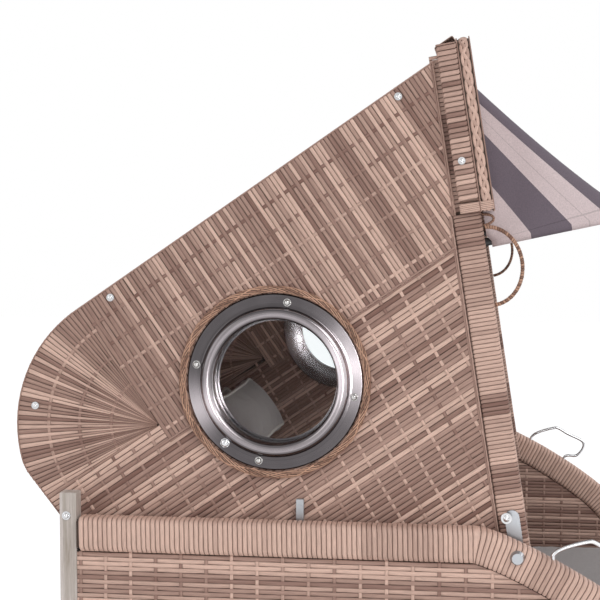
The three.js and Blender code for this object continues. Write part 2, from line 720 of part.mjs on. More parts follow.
// Plaited rim: a thick plait round the front of the visor
const RIM_DEPTH = 23;
const RIM_WIDTH = 56;
const RIM_EDGE = 8;
const RIM_CORNER = 22;
const rimInner = visorOuter - RIM_WIDTH;
const rimTop = visorTop(visorFront);
const RIM_EXTRA = 4; // the top is a little deeper than the sides
const rimUnder = rimTop - RIM_WIDTH - RIM_EXTRA;
const rimBack = visorFront - FIT;
const rimShape = new THREE.Shape();
rimShape.moveTo(visorOuter, VISOR_FOOT);
rimShape.lineTo(visorOuter, rimTop - RIM_CORNER);
rimShape.absarc(visorOuter - RIM_CORNER, rimTop - RIM_CORNER, RIM_CORNER, 0, PI / 2);
rimShape.lineTo(-visorOuter + RIM_CORNER, rimTop);
rimShape.absarc(-visorOuter + RIM_CORNER, rimTop - RIM_CORNER, RIM_CORNER, PI / 2, PI);
rimShape.lineTo(-visorOuter, VISOR_FOOT);
rimShape.lineTo(-rimInner, VISOR_FOOT);
rimShape.lineTo(-rimInner, rimUnder);
rimShape.lineTo(rimInner, rimUnder);
rimShape.lineTo(rimInner, VISOR_FOOT);
add(hood, "visor_rim", alongY(rimShape, rimBack - RIM_DEPTH, rimBack, RIM_EDGE), weave());

// Portholes: a turned steel flange with a raised ring and a sleeve through the panel, a flat ring
// on the inside, a pane between them and a plaited wreath round the outside
const FLANGE_RADIUS = 148.9;
const FLANGE = 3;
const RAISED_RADIUS = 122.4; // outside of the raised ring
const RAISED = 13; // its height over the panel
const RAISED_STEPS = 6;
const PORT_SEGMENTS = 32;
const PANE = 6;
const PANE_SEAT = 4; // the pane reaches this far past the clear opening
const flangeFace = FIT;
const sleeveEnd = -PANEL - FIT;
const ringSteps = [];
for (let i = 0; i <= RAISED_STEPS; i += 1) {
  const angle = (PI * i) / RAISED_STEPS;
  const middle = (GLASS_RADIUS + RAISED_RADIUS) / 2;
  const half = (RAISED_RADIUS - GLASS_RADIUS) / 2;
  ringSteps.push([middle + half * cos(angle), flangeFace + FLANGE + (RAISED - FLANGE) * sin(angle)]);
}
const flangeProfile = [
  [SLEEVE_RADIUS, sleeveEnd],
  [SLEEVE_RADIUS, flangeFace],
  [FLANGE_RADIUS, flangeFace],
  [FLANGE_RADIUS - FLANGE / 3, flangeFace + FLANGE],
  ...ringSteps,
  [GLASS_RADIUS, sleeveEnd],
  [SLEEVE_RADIUS, sleeveEnd],
];
const atPort = (geometry) => geometry.translate(HOOD_SIDE, PORT_U, PORT_V);
addPair(hood, "porthole_flange", atPort(turnedAlongX(flangeProfile, PORT_SEGMENTS)), steel);
const paneOuter = sleeveEnd - FIT;
const paneBed = paneOuter - PANE - FIT;
const counterProfile = [
  [PORT_HOLE, sleeveEnd],
  [PORT_HOLE, paneBed],
  [GLASS_RADIUS - PANE_SEAT, paneBed],
  [GLASS_RADIUS - PANE_SEAT, paneBed - FLANGE],
  [FLANGE_RADIUS - FLANGE, paneBed - FLANGE],
  [FLANGE_RADIUS, sleeveEnd],
  [PORT_HOLE, sleeveEnd],
];
addPair(hood, "porthole_ring", atPort(turnedAlongX(counterProfile, PORT_SEGMENTS)), steel);
const paneRadius = PORT_HOLE - FIT;
addPair(
  hood,
  "porthole_pane",
  atPort(rodAlongX(paneRadius, paneOuter - PANE, paneOuter, PORT_SEGMENTS)),
  () => new THREE.MeshStandardMaterial({ color: 0xdfe6e8, roughness: 0.05, metalness: 0, transparent: true, opacity: 0.35 })
);
const WREATH_RADIUS = 7.2;
const WREATH_SIDES = 6;
const wreathSeat = WREATH_RADIUS * cos(PI / WREATH_SIDES) + FIT; // it lies on one of its flats
const wreath = new THREE.TorusGeometry(
  FLANGE_RADIUS + FIT + WREATH_RADIUS, WREATH_RADIUS, WREATH_SIDES, PORT_SEGMENTS
).rotateY(PI / 2);
addPair(hood, "porthole_wreath", atPort(wreath.translate(wreathSeat, 0, 0)), () => finish(0x9a6b3f, 0.8, 0));

// Grab handles: bowed rods on the front of the front posts
const GRAB_UNDER_VISOR = 26; // upper foot under the visor
const GRAB_SPREAD = 130; // between the two feet
const GRAB_HIGH = VISOR_FOOT - GRAB_UNDER_VISOR;
const GRAB_LOW = GRAB_HIGH - GRAB_SPREAD;
const GRAB_REACH = 54.6;
const GRAB_ROD = 3.6; // radius
const GRAB_STEPS = 14;
const grabPoints = [];
for (let i = 0; i <= GRAB_STEPS; i += 1) {
  const angle = (PI * i) / GRAB_STEPS;
  const v = GRAB_LOW + (GRAB_SPREAD / 2) * (1 + cos(angle));
  grabPoints.push(new THREE.Vector3((POST_INNER + HOOD_SIDE) / 2, -POST_FRONT - FIT - GRAB_REACH * sin(angle), v));
}
const grabRod = bar(grabPoints, GRAB_ROD, 8);
const postFace = box(
  POST_INNER - CUT, -POST_FRONT - FIT, GRAB_LOW - GRAB_REACH, HOOD_SIDE + CUT, 0, GRAB_HIGH + GRAB_REACH
);
addPair(hood, "grab_handle", cut(grabRod, postFace), paleWrap);

// Pivot plates: zinc plates on the posts, with a boss that keeps the hood off the arms
const PLATE = 3;
const PLATE_HALF = 12;
const PLATE_TOP = 66;
const PLATE_FOOT = -26;
const plateFace = HOOD_SIDE + FIT;
const plateShape = roundedRectangle(-PLATE_HALF, PLATE_FOOT, PLATE_HALF, PLATE_TOP, PLATE_HALF - FIT);
const plateBoss = rodAlongX(PLATE_HALF - FIT, plateFace, ARM_INNER - FIT, 24);
const plateBody = alongX(plateShape, plateFace, plateFace + PLATE, 0, 3);
addPair(hood, "pivot_plate", cut(joined(plateBody, plateBoss), pivotBore), steel);

// Pivot bolts: through arm, boss and post, with a flat head outside and a nut inside
const BOLT_HEAD = 12;
const BOLT_HEAD_LENGTH = 8;
const BOLT_CHAMFER = 3;
const boltProfile = [
  [0, POST_INNER - FIT - BOLT_HEAD_LENGTH],
  [BOLT_HEAD, POST_INNER - FIT - BOLT_HEAD_LENGTH],
  [BOLT_HEAD, POST_INNER - FIT],
  [PIVOT_BOLT, POST_INNER - FIT],
  [PIVOT_BOLT, ARM_OUTER + FIT],
  [BOLT_HEAD, ARM_OUTER + FIT],
  [BOLT_HEAD - BOLT_CHAMFER, ARM_OUTER + FIT + BOLT_HEAD_LENGTH],
  [0, ARM_OUTER + FIT + BOLT_HEAD_LENGTH],
];
addPair(base, "pivot_bolt", turnedAlongX(boltProfile, 20).translate(0, PIVOT_Y, PIVOT_HEIGHT), steel);

// Gas struts: each rod hangs from a pin in the hood's panel, its cylinder slides on it, and a wide
// eye at the cylinder's foot turns on a pin in the base wall
const STRUT_FOOT = -300; // base pin under the pivot's level
const ROD = 3; // radius
const ROD_LENGTH = 272;
const CYLINDER = 7.5; // radius
const STRUT_GAP = 1; // cylinder to the hood's panel
const STRUT_X = HOOD_SIDE + STRUT_GAP + CYLINDER;
const CYLINDER_LENGTH = 230;
const CYLINDER_PLAY = 0.6;
const CLEVIS_HALF = 6.3;
const CLEVIS_TOP = 13;
const CLEVIS_FOOT = 24;
const CLEVIS_HALF_THICK = 4.5;
const PIN_END = 1.2; // pins stand out this far past what they hold
const EYE_BORE = 11.5;
const EYE_RADIUS = 16.5;
const EYE_HALF_THICK = 5;
const EYE_WALL = 3; // round the bore, where the cylinder begins
const lean = radians(HOOD_LEAN);
const studY = PIVOT_Y + STUD_U * cos(lean) + STUD_V * sin(lean);
const studZ = PIVOT_HEIGHT - STUD_U * sin(lean) + STUD_V * cos(lean);
const footZ = PIVOT_HEIGHT + STRUT_FOOT;
const upright = (radius, z0, z1, segments) =>
  new THREE.CylinderGeometry(radius, radius, z1 - z0, segments).rotateX(PI / 2).translate(STRUT_X, studY, (z0 + z1) / 2);
const rodBody = upright(ROD, studZ - ROD_LENGTH, studZ, 12);
const clevis = box(
  STRUT_X - CLEVIS_HALF_THICK, studY - CLEVIS_HALF, studZ - CLEVIS_FOOT,
  STRUT_X + CLEVIS_HALF_THICK, studY + CLEVIS_HALF, studZ + CLEVIS_TOP
);
const rodPin = rodAlongX(STRUT_PIN, HOOD_SIDE - STUD_DEPTH + FIT, STRUT_X + CLEVIS_HALF_THICK + PIN_END, 16);
addPair(base, "strut_rod", joined(rodBody, clevis, rodPin.translate(0, studY, studZ)), steel);
const cylinderBody = upright(CYLINDER, footZ + EYE_BORE + EYE_WALL, footZ + CYLINDER_LENGTH, 20);
const cylinderBore = upright(ROD + CYLINDER_PLAY, footZ + EYE_RADIUS + CUT, footZ + CYLINDER_LENGTH + CUT, 12);
const eyeDisc = rodAlongX(EYE_RADIUS, STRUT_X - EYE_HALF_THICK, STRUT_X + EYE_HALF_THICK, 20).translate(0, studY, footZ);
const eyeBore = rodAlongX(EYE_BORE, STRUT_X - CYLINDER - CUT, STRUT_X + CYLINDER + CUT, 20).translate(0, studY, footZ);
addPair(base, "strut_cylinder", cut(joined(cylinderBody, eyeDisc), cylinderBore, eyeBore), () => finish(0x25262a, 0.35, 0.6));

// Strut brackets: a plate on the base wall's inner face with the lower pin
const BRACKET = 4;
const BRACKET_HALF = 26;
const bracketFace = WALL_INNER - FIT;
const bracketShape = roundedRectangle(
  studY - BRACKET_HALF, footZ - BRACKET_HALF, studY + BRACKET_HALF, footZ + BRACKET_HALF, BRACKET
);
const bracketPin = rodAlongX(STRUT_PIN, STRUT_X - EYE_HALF_THICK - PIN_END, bracketFace, 16).translate(0, studY, footZ);
const bracketPlate = alongX(bracketShape, bracketFace - BRACKET, bracketFace, 0, 2);
addPair(base, "strut_bracket", joined(bracketPlate, bracketPin), steel);

// Back cushions on the back wall, each with a neck pillow at its head
const BACK_CUSHION = 118; // thickness
const BACK_CUSHION_LENGTH = 640;
const BACK_CUSHION_HEAD = 62; // below the start of the back's straight
const backTurn = radians(BACK_SLOPE - 90);
const onBackWall = (geometry, down, inset) => {
  const [u, v] = onBack(down, inset);
  return geometry.rotateX(PI / 2 + backTurn).translate(cushionMiddle, u, v);
};
const backCushion = cushionForm({
  width: cushionWidth,
  length: BACK_CUSHION_LENGTH,
  height: BACK_CUSHION,
  drawIn: CUSHION_DRAW,
  crownShare: 0.18,
  columns: 12,
  rows: 12,
});
addPair(
  hood,
  "back_cushion",
  onBackWall(backCushion, BACK_CUSHION_HEAD + BACK_CUSHION_LENGTH / 2, SHELL + FIT + BACK_CUSHION / 2),
  cushionCloth
);
const PILLOW = 72;
const PILLOW_LENGTH = 150;
const PILLOW_WIDTH = 430;
const PILLOW_HEAD = 20; // below the back cushion's head
const PILLOW_BED = 1.5; // the back cushion's crown has fallen away this much under the pillow
const neckPillow = cushionForm({
  width: PILLOW_WIDTH,
  length: PILLOW_LENGTH,
  height: PILLOW,
  drawIn: CUSHION_DRAW / 2,
  crownShare: 0.2,
  columns: 10,
  rows: 6,
});
addPair(
  hood,
  "neck_pillow",
  onBackWall(
    neckPillow,
    BACK_CUSHION_HEAD + PILLOW_HEAD + PILLOW_LENGTH / 2,
    SHELL + 2 * FIT + BACK_CUSHION - PILLOW_BED + PILLOW / 2
  ),
  cushionCloth
);

// Awning bow: a bent tube whose ends turn in the front posts
const BOW_TUBE = 7; // radius
const BOW_REACH = 252; // hinge to the front bar
const BOW_RISE = 14;
const BOW_CORNER = 50;
const CLOTH = 3; // thickness
const clothSide = POST_INNER - FIT - CLOTH / 2;
const SLEEVE_EASE = 1.2; // cloth to tube
const BOW_TO_POST = 1; // sleeve to post, as the bow folds up between the posts
const bowSide = POST_INNER - BOW_TO_POST - CLOTH - SLEEVE_EASE - BOW_TUBE;
const bowV = (u) => HINGE_V + (BOW_RISE * -u) / BOW_REACH;
// The bow's middle line from the right hinge at 0 to the left hinge at 1, with its outward direction
const CORNER_ARC = (BOW_CORNER * PI) / 2;
const armRun = BOW_REACH - BOW_CORNER;
const frontRun = 2 * (bowSide - BOW_CORNER);
function onBow(distance) {
  const half = armRun + CORNER_ARC + frontRun / 2;
  const side = distance <= half ? 1 : -1;
  const run = distance <= half ? distance : 2 * half - distance;
  if (run < armRun) {
    return { x: side * bowSide, u: -run, out: [side, 0] };
  }
  if (run < armRun + CORNER_ARC) {
    const angle = (run - armRun) / BOW_CORNER;
    return {
      x: side * (bowSide - BOW_CORNER + BOW_CORNER * cos(angle)),
      u: -armRun - BOW_CORNER * sin(angle),
      out: [side * cos(angle), -sin(angle)],
    };
  }
  return { x: side * (bowSide - BOW_CORNER - (run - armRun - CORNER_ARC)), u: -BOW_REACH, out: [0, -1] };
}
const bowLength = 2 * (armRun + CORNER_ARC) + frontRun;
const BOW_CORNER_STEPS = 6;
const bowStations = [0];
for (const start of [armRun, armRun + CORNER_ARC + frontRun]) {
  for (let i = 0; i <= BOW_CORNER_STEPS; i += 1) {
    bowStations.push(start + (CORNER_ARC * i) / BOW_CORNER_STEPS);
  }
}
bowStations.push(bowLength);
const bowPlaces = bowStations.map(onBow).map(({ x, u }) => new THREE.Vector3(x, u, bowV(u)));
const bowTube = bar(bowPlaces, BOW_TUBE, 10);
const bowPin = rodAlongX(BOW_PIN, bowSide, POST_INNER + BOW_PIN_LENGTH, 12).translate(0, 0, HINGE_V);
const bowKnuckle = rodAlongX(BOW_TUBE, bowSide - BOW_TUBE, bowSide + BOW_TUBE, 16).translate(0, 0, HINGE_V);
add(
  hood,
  "awning_bow",
  joined(bowTube, bowPin, mirrored(bowPin), bowKnuckle, mirrored(bowKnuckle)),
  finish(0x2b2b2e, 0.5, 0.4)
);

// Awning cloth: one sheet from the mouth of the hood to the bow, with a rounded shoulder at each
// side, hanging gussets, a shallow sag with folds, and a sleeve sewn round the bow
const CROWN_V = rimUnder - FIT - CLOTH / 2; // cloth under the rim
const CLOTH_CORNER = 48;
const CLOTH_BACK = POST_FRONT + FIT + CLOTH; // its rear edge, ahead of the pivot line
const CLOTH_FOOT = 12; // its lowest rear point, over the hinge
const CLOTH_SAG = 12;
const FOLD_DEPTH = 4;
const FOLD_COUNT = 7;
const SLEEVE_TURN = 190; // degrees that the sleeve goes on round the bow
const CROWN_START = 43; // degrees from the top where the roof part meets the tube
const GUSSET_START = 90; // degrees from the top where a gusset meets it
const sleeveRadius = BOW_TUBE + SLEEVE_EASE + CLOTH / 2;
const sheetStartOnBow = CLOTH_BACK + BOW_TUBE;
const sideRise = CROWN_V - CLOTH_CORNER - (HINGE_V + CLOTH_FOOT);
const CLOTH_ARC = (CLOTH_CORNER * PI) / 2;
const ACROSS_STEPS = [7, BOW_CORNER_STEPS, 12]; // steps up a gusset, round a shoulder and across the crown
const DOWN_STEPS = 7; // steps from the hood to the bow
const ROUND_STEPS = 5; // steps round the bow
// Matching points on the hood's mouth and on the bow, section by section
function sheetRails() {
  const rails = [];
  const crownHalf = clothSide - CLOTH_CORNER;
  const bowArmRun = armRun - sheetStartOnBow;
  const section = (count, at) => {
    for (let i = rails.length ? 1 : 0; i <= count; i += 1) {
      rails.push(at(i / count));
    }
  };
  const mouth = (x, v) => new THREE.Vector3(x, -CLOTH_BACK, v);
  section(ACROSS_STEPS[0], (t) => ({
    mouth: mouth(clothSide, HINGE_V + CLOTH_FOOT + sideRise * t),
    bow: sheetStartOnBow + bowArmRun * t,
    flat: 0,
  }));
  section(ACROSS_STEPS[1], (t) => ({
    mouth: mouth(
      crownHalf + CLOTH_CORNER * cos((t * PI) / 2),
      CROWN_V - CLOTH_CORNER + CLOTH_CORNER * sin((t * PI) / 2)
    ),
    bow: armRun + CORNER_ARC * t,
    flat: t,
  }));
  section(ACROSS_STEPS[2], (t) => ({
    mouth: mouth(crownHalf * (1 - 2 * t), CROWN_V),
    bow: armRun + CORNER_ARC + frontRun * t,
    flat: 1,
  }));
  const half = rails.length;
  for (let i = half - ACROSS_STEPS[2] - 2; i >= 0; i -= 1) {
    const twin = rails[i];
    rails.push({
      mouth: twin.mouth.clone().multiply(new THREE.Vector3(-1, 1, 1)),
      bow: bowLength - twin.bow,
      flat: twin.flat,
    });
  }
  return rails;
}
const rails = sheetRails();
function sheetPoint(rail, step) {
  const { x, u, out } = onBow(rail.bow);
  const centre = new THREE.Vector3(x, u, bowV(u));
  const outward = new THREE.Vector3(out[0], out[1], 0);
  const start = GUSSET_START + (CROWN_START - GUSSET_START) * rail.flat;
  const turn = step > DOWN_STEPS ? (SLEEVE_TURN * (step - DOWN_STEPS)) / ROUND_STEPS : 0;
  const angle = radians(start + turn);
  const onTube = centre
    .clone()
    .addScaledVector(outward, sleeveRadius * sin(angle))
    .add(new THREE.Vector3(0, 0, sleeveRadius * cos(angle)));
  if (step >= DOWN_STEPS) {
    return onTube;
  }
  const t = step / DOWN_STEPS;
  const point = rail.mouth.clone().lerp(onTube, t);
  const slack = 4 * t * (1 - t) * (rail.mouth.distanceTo(onTube) / BOW_REACH);
  const fold = FOLD_DEPTH * rail.flat * sin((FOLD_COUNT * PI * rail.mouth.x) / clothSide) * t * slack;
  point.z -= CLOTH_SAG * rail.flat * slack - fold;
  point.x -= sign(point.x) * (CLOTH_SAG / 2) * (1 - rail.flat) * slack;
  return point;
}
function sheetForm() {
  const columns = rails.length;
  const rows = DOWN_STEPS + ROUND_STEPS + 1;
  const grid = rails.map((rail) => Array.from({ length: rows }, (_, step) => sheetPoint(rail, step)));
  const normalAt = (i, j) => {
    const across = grid[min(i + 1, columns - 1)][j].clone().sub(grid[max(i - 1, 0)][j]);
    const down = grid[i][min(j + 1, rows - 1)].clone().sub(grid[i][max(j - 1, 0)]);
    return across.cross(down).normalize();
  };
  const points = [];
  for (const side of [1, -1]) {
    for (let i = 0; i < columns; i += 1) {
      for (let j = 0; j < rows; j += 1) {
        const place = grid[i][j].clone().addScaledVector(normalAt(i, j), (side * CLOTH) / 2);
        points.push(place.x, place.y, place.z);
      }
    }
  }
  const under = columns * rows;
  const number = (i, j) => i * rows + j;
  const triangles = [];
  const quad = (a, b, c, d) => triangles.push(a, b, c, a, c, d);
  for (let i = 0; i < columns - 1; i += 1) {
    for (let j = 0; j < rows - 1; j += 1) {
      const corners = [number(i, j), number(i + 1, j), number(i + 1, j + 1), number(i, j + 1)];
      quad(...corners);
      quad(...corners.reverse().map((corner) => corner + under));
    }
  }
  const edge = (a, b) => quad(b, a, a + under, b + under);
  for (let i = 0; i < columns - 1; i += 1) {
    edge(number(i, 0), number(i + 1, 0));
    edge(number(i + 1, rows - 1), number(i, rows - 1));
  }
  for (let j = 0; j < rows - 1; j += 1) {
    edge(number(0, j + 1), number(0, j));
    edge(number(columns - 1, j), number(columns - 1, j + 1));
  }
  const geometry = new THREE.BufferGeometry();
  geometry.setAttribute("position", new THREE.Float32BufferAttribute(points, 3));
  geometry.setIndex(triangles);
  geometry.computeVertexNormals();
  return geometry;
}
add(hood, "awning_cloth", sheetForm(), finish(0x6f6672, 0.95, 0));

const chair = new THREE.Group();
chair.add(base, hood);
export default chair;
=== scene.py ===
# Hooded beach chair for two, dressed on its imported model. Metres, +Z up, the seat faces -Y.
import math

import bpy
import numpy as np
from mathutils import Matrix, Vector


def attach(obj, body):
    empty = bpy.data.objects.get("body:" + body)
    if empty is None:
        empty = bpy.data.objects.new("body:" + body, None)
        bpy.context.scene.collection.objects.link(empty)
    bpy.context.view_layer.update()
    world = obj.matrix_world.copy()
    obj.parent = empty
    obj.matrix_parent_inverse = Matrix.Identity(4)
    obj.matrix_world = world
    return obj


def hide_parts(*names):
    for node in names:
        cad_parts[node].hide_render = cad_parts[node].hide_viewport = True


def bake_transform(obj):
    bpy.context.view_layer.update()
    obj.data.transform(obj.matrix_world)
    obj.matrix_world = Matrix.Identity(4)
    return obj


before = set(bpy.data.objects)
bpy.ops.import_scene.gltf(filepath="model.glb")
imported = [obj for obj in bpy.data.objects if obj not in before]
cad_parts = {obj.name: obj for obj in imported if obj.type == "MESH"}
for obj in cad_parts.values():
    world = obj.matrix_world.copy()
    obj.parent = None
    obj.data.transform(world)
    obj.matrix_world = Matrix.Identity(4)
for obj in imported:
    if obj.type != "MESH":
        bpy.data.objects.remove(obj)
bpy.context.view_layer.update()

chance = np.random.default_rng(7)

# The studio: a pale floor, soft lamps and a camera beside the hood's left side, at about the
# height of its porthole, as the photograph was taken.


def linked(name, data):
    """An object of this name, in the scene"""
    made = bpy.data.objects.new(name, data)
    bpy.context.scene.collection.objects.link(made)
    return made


def aimed(way):
    return way.to_track_quat("-Z", "Y").to_euler()


camera = linked("camera", bpy.data.cameras.new("camera"))
camera.data.lens, camera.data.sensor_width = 85.6, 36
camera.location = (-2.935, -0.1635, 1.295)
turn, tip = math.radians(7.58), math.radians(3.5)
camera.rotation_euler = aimed(Vector((math.cos(tip) * math.cos(turn), math.cos(tip) * math.sin(turn), -math.sin(tip))))
bpy.context.scene.camera = camera
bpy.context.scene.view_settings.view_transform = "Standard"


def new_material(name, values):
    """A material, its node tree and its Principled shader, with some of the shader's values"""
    made = bpy.data.materials.new(name)
    made.use_nodes = True
    shader = made.node_tree.nodes["Principled BSDF"]
    for title, value in values.items():
        shader.inputs[title].default_value = value
    return made, made.node_tree, shader


def node(tree, kind, **settings):
    """A shader node; a setting that names an input gives its value, or the output joined to it"""
    made = tree.nodes.new(kind)
    for key, value in settings.items():
        if key not in made.inputs:
            setattr(made, key, value)
        elif isinstance(value, bpy.types.NodeSocket):
            tree.links.new(value, made.inputs[key])
        else:
            made.inputs[key].default_value = value
    return made


def filled(tree, sockets, values):
    for socket, value in zip(sockets, values):
        if isinstance(value, bpy.types.NodeSocket):
            tree.links.new(value, socket)
        else:
            socket.default_value = value


def calc(tree, operation, *values):
    """The output of a math node on numbers and outputs"""
    made = node(tree, "ShaderNodeMath", operation=operation)
    filled(tree, made.inputs, values)
    return made.outputs[0]


def mixed(tree, factor, first, second):
    made = node(tree, "ShaderNodeMix", data_type="RGBA", Factor=factor)
    filled(tree, [s for s in made.inputs if s.type == "RGBA"], (first, second))
    return next(s for s in made.outputs if s.type == "RGBA")


def mesh_object(name, points, faces, material=None, smooth=False):
    mesh = bpy.data.meshes.new(name)
    mesh.from_pydata([tuple(p) for p in points], [], [tuple(f) for f in faces])
    if material:
        mesh.materials.append(material)
    if smooth:
        mesh.polygons.foreach_set("use_smooth", [True] * len(mesh.polygons))
    return linked(name, mesh)


def shows_white(tree):
    """1 where the camera, a reflection or glass looks at the surface, 0 for the light it gives off"""
    path = node(tree, "ShaderNodeLightPath").outputs
    seen = calc(tree, "MAXIMUM", path["Is Camera Ray"], path["Is Glossy Ray"])
    return calc(tree, "MAXIMUM", seen, path["Is Transmission Ray"])


paper, tree, shader = new_material("studio_floor", {
    "Base Color": (0.86, 0.86, 0.855, 1), "Roughness": 0.9, "Emission Color": (1, 1, 1, 1)})
tree.links.new(calc(tree, "MULTIPLY", shows_white(tree), 0.62), shader.inputs["Emission Strength"])
mesh_object("studio_floor", [(-14, -14, 0), (14, -14, 0), (14, 14, 0), (-14, 14, 0)], [(0, 1, 2, 3)], paper)

world = bpy.data.worlds.new("studio")
world.use_nodes = True
sky = world.node_tree
backdrop = mixed(sky, shows_white(sky), (0.46, 0.465, 0.48, 1), (1, 1, 1, 1))
sky.links.new(backdrop, sky.nodes["Background"].inputs["Color"])
bpy.context.scene.world = world

for name, place, towards, size, power in (
    ("soft_key", (-3.4, -2.2, 3.3), (0, 0, 1.0), 2.0, 62),
    ("soft_fill", (-2.8, 3.0, 2.0), (0, 0.1, 0.9), 2.2, 22),
    ("soft_front", (1.6, -3.6, 2.6), (0, 0, 0.9), 2.0, 36),
    ("soft_low", (-3.3, -0.35, 0.85), (0, -0.2, 0.9), 0.5, 8),
):
    lamp = linked(name, bpy.data.lights.new(name, "AREA"))
    lamp.data.size, lamp.data.energy, lamp.location = size, power, place
    lamp.rotation_euler = aimed(Vector(towards) - Vector(place))

# Skids, floor boards, upright boards and seat deck: softwood boards washed grey-beige, sawn
# and screwed, with the grain along each board.


class Effect:
    """A node group for one kind of surface: its own inputs in, Color, Roughness and Height out"""

    def __init__(self, name, **inputs):
        self.tree = bpy.data.node_groups.new(name, "ShaderNodeTree")
        sockets = self.tree.interface.new_socket
        for title, value in inputs.items():
            kind = {4: "Color", 3: "Vector"}[len(value)] if isinstance(value, tuple) else "Float"
            sockets(title, in_out="INPUT", socket_type="NodeSocket" + kind).default_value = value
        for title, kind in (("Color", "Color"), ("Roughness", "Float"), ("Height", "Float")):
            sockets(title, in_out="OUTPUT", socket_type="NodeSocket" + kind)
        self.given = self.tree.nodes.new("NodeGroupInput").outputs
        self.place = self.node("ShaderNodeTexCoord").outputs["Object"]

    def node(self, kind, **settings):
        return node(self.tree, kind, **settings)

    def calc(self, operation, *values):
        return calc(self.tree, operation, *values)

    def noise(self, where, scale, detail, rough=0.5, twist=0.0):
        return self.node("ShaderNodeTexNoise", Vector=where, Scale=scale, Detail=detail, Roughness=rough,
                         Distortion=twist).outputs["Fac"]

    def spread(self, value, low, high, to_low=0.0, to_high=1.0):
        """A value's stretch from low to high, spread over another"""
        return self.node("ShaderNodeMapRange", Value=value, **{
            "From Min": low, "From Max": high, "To Min": to_low, "To Max": to_high}).outputs[0]

    def give(self, colour, shade, roughness, height):
        shaded = self.node("ShaderNodeVectorMath", operation="SCALE", Vector=colour, Scale=shade).outputs[0]
        filled(self.tree, self.tree.nodes.new("NodeGroupOutput").inputs, (shaded, roughness, height))


def dressed(name, effect, height, sockets, metallic=0.0, distance=0.0006):
    """A material whose colour, roughness and bump come from one effect with its own values"""
    made, tree, shader = new_material(name, {"Metallic": metallic})
    placed = node(tree, "ShaderNodeGroup", node_tree=effect.tree)
    for key, value in sockets.items():
        placed.inputs[key].default_value = value
    bump = node(tree, "ShaderNodeBump", Strength=height, Distance=distance, Height=placed.outputs["Height"])
    for source, title in ((placed.outputs["Color"], "Base Color"), (placed.outputs["Roughness"], "Roughness"),
                          (bump.outputs[0], "Normal")):
        tree.links.new(source, shader.inputs[title])
    return made


def shown(material, *names):
    """Gives solids of the frame a material"""
    for name in names:
        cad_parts[name].data.materials[0] = material


grain = Effect("board_grain", Pale=(0.52, 0.44, 0.36, 1), Deep=(0.3, 0.235, 0.185, 1), Along=(14.0, 1.0, 14.0))
stretch = grain.node("ShaderNodeVectorMath", operation="MULTIPLY")
filled(grain.tree, stretch.inputs, (grain.place, grain.given["Along"]))
lines = grain.spread(grain.noise(stretch.outputs[0], 6.0, 6.0, 0.62, 0.6), 0.38, 0.66)
pores = grain.noise(stretch.outputs[0], 48.0, 3.0, 0.7)
wash = mixed(grain.tree, lines, grain.given["Pale"], grain.given["Deep"])
worn = mixed(grain.tree, grain.calc("MULTIPLY", grain.noise(grain.place, 7.0, 2.0), 0.45), wash, (0.62, 0.58, 0.52, 1))
grain.give(worn, grain.calc("MULTIPLY_ADD", pores, 0.5, 0.72), grain.calc("MULTIPLY_ADD", pores, 0.3, 0.5),
           grain.calc("ADD", lines, grain.calc("MULTIPLY", pores, 0.8)))
board_along_x = dressed("washed_board_across", grain, 0.5, {"Along": (1.0, 15.0, 15.0)})
board_along_y = dressed("washed_board_lengthwise", grain, 0.5, {"Along": (15.0, 1.0, 15.0)})
board_upright = dressed("washed_board_upright", grain, 0.5, {"Along": (15.0, 15.0, 1.0), "Pale": (0.64, 0.56, 0.53, 1)})
shown(board_along_x, "floor_boards", "seat_deck")
shown(board_along_y, "skid_left", "skid_centre", "skid_right", "centre_partition", "side_partition_left",
      "side_partition_right")

# Base sides: flat synthetic strips, light and dark ones mixed, woven over and under bars of the same
# strip on a thin core. The frame's tubes are inside; both faces are woven and the wrapped arm covers
# the edge.
SIDES = (("left", -1), ("right", 1))


def direction(line):
    """The way that a line runs at each of its points"""
    way = np.gradient(line, axis=0)
    return way / np.linalg.norm(way, axis=1)[:, None]


def run_of(line):
    """How far along a line each of its points lies"""
    return np.concatenate([[0], np.cumsum(np.linalg.norm(np.diff(line, axis=0), axis=1))])


def fit(piece, body, node_name=None):
    """Has a body carry a piece and the node that it stands for"""
    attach(piece, body)
    if node_name:
        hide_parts(node_name)


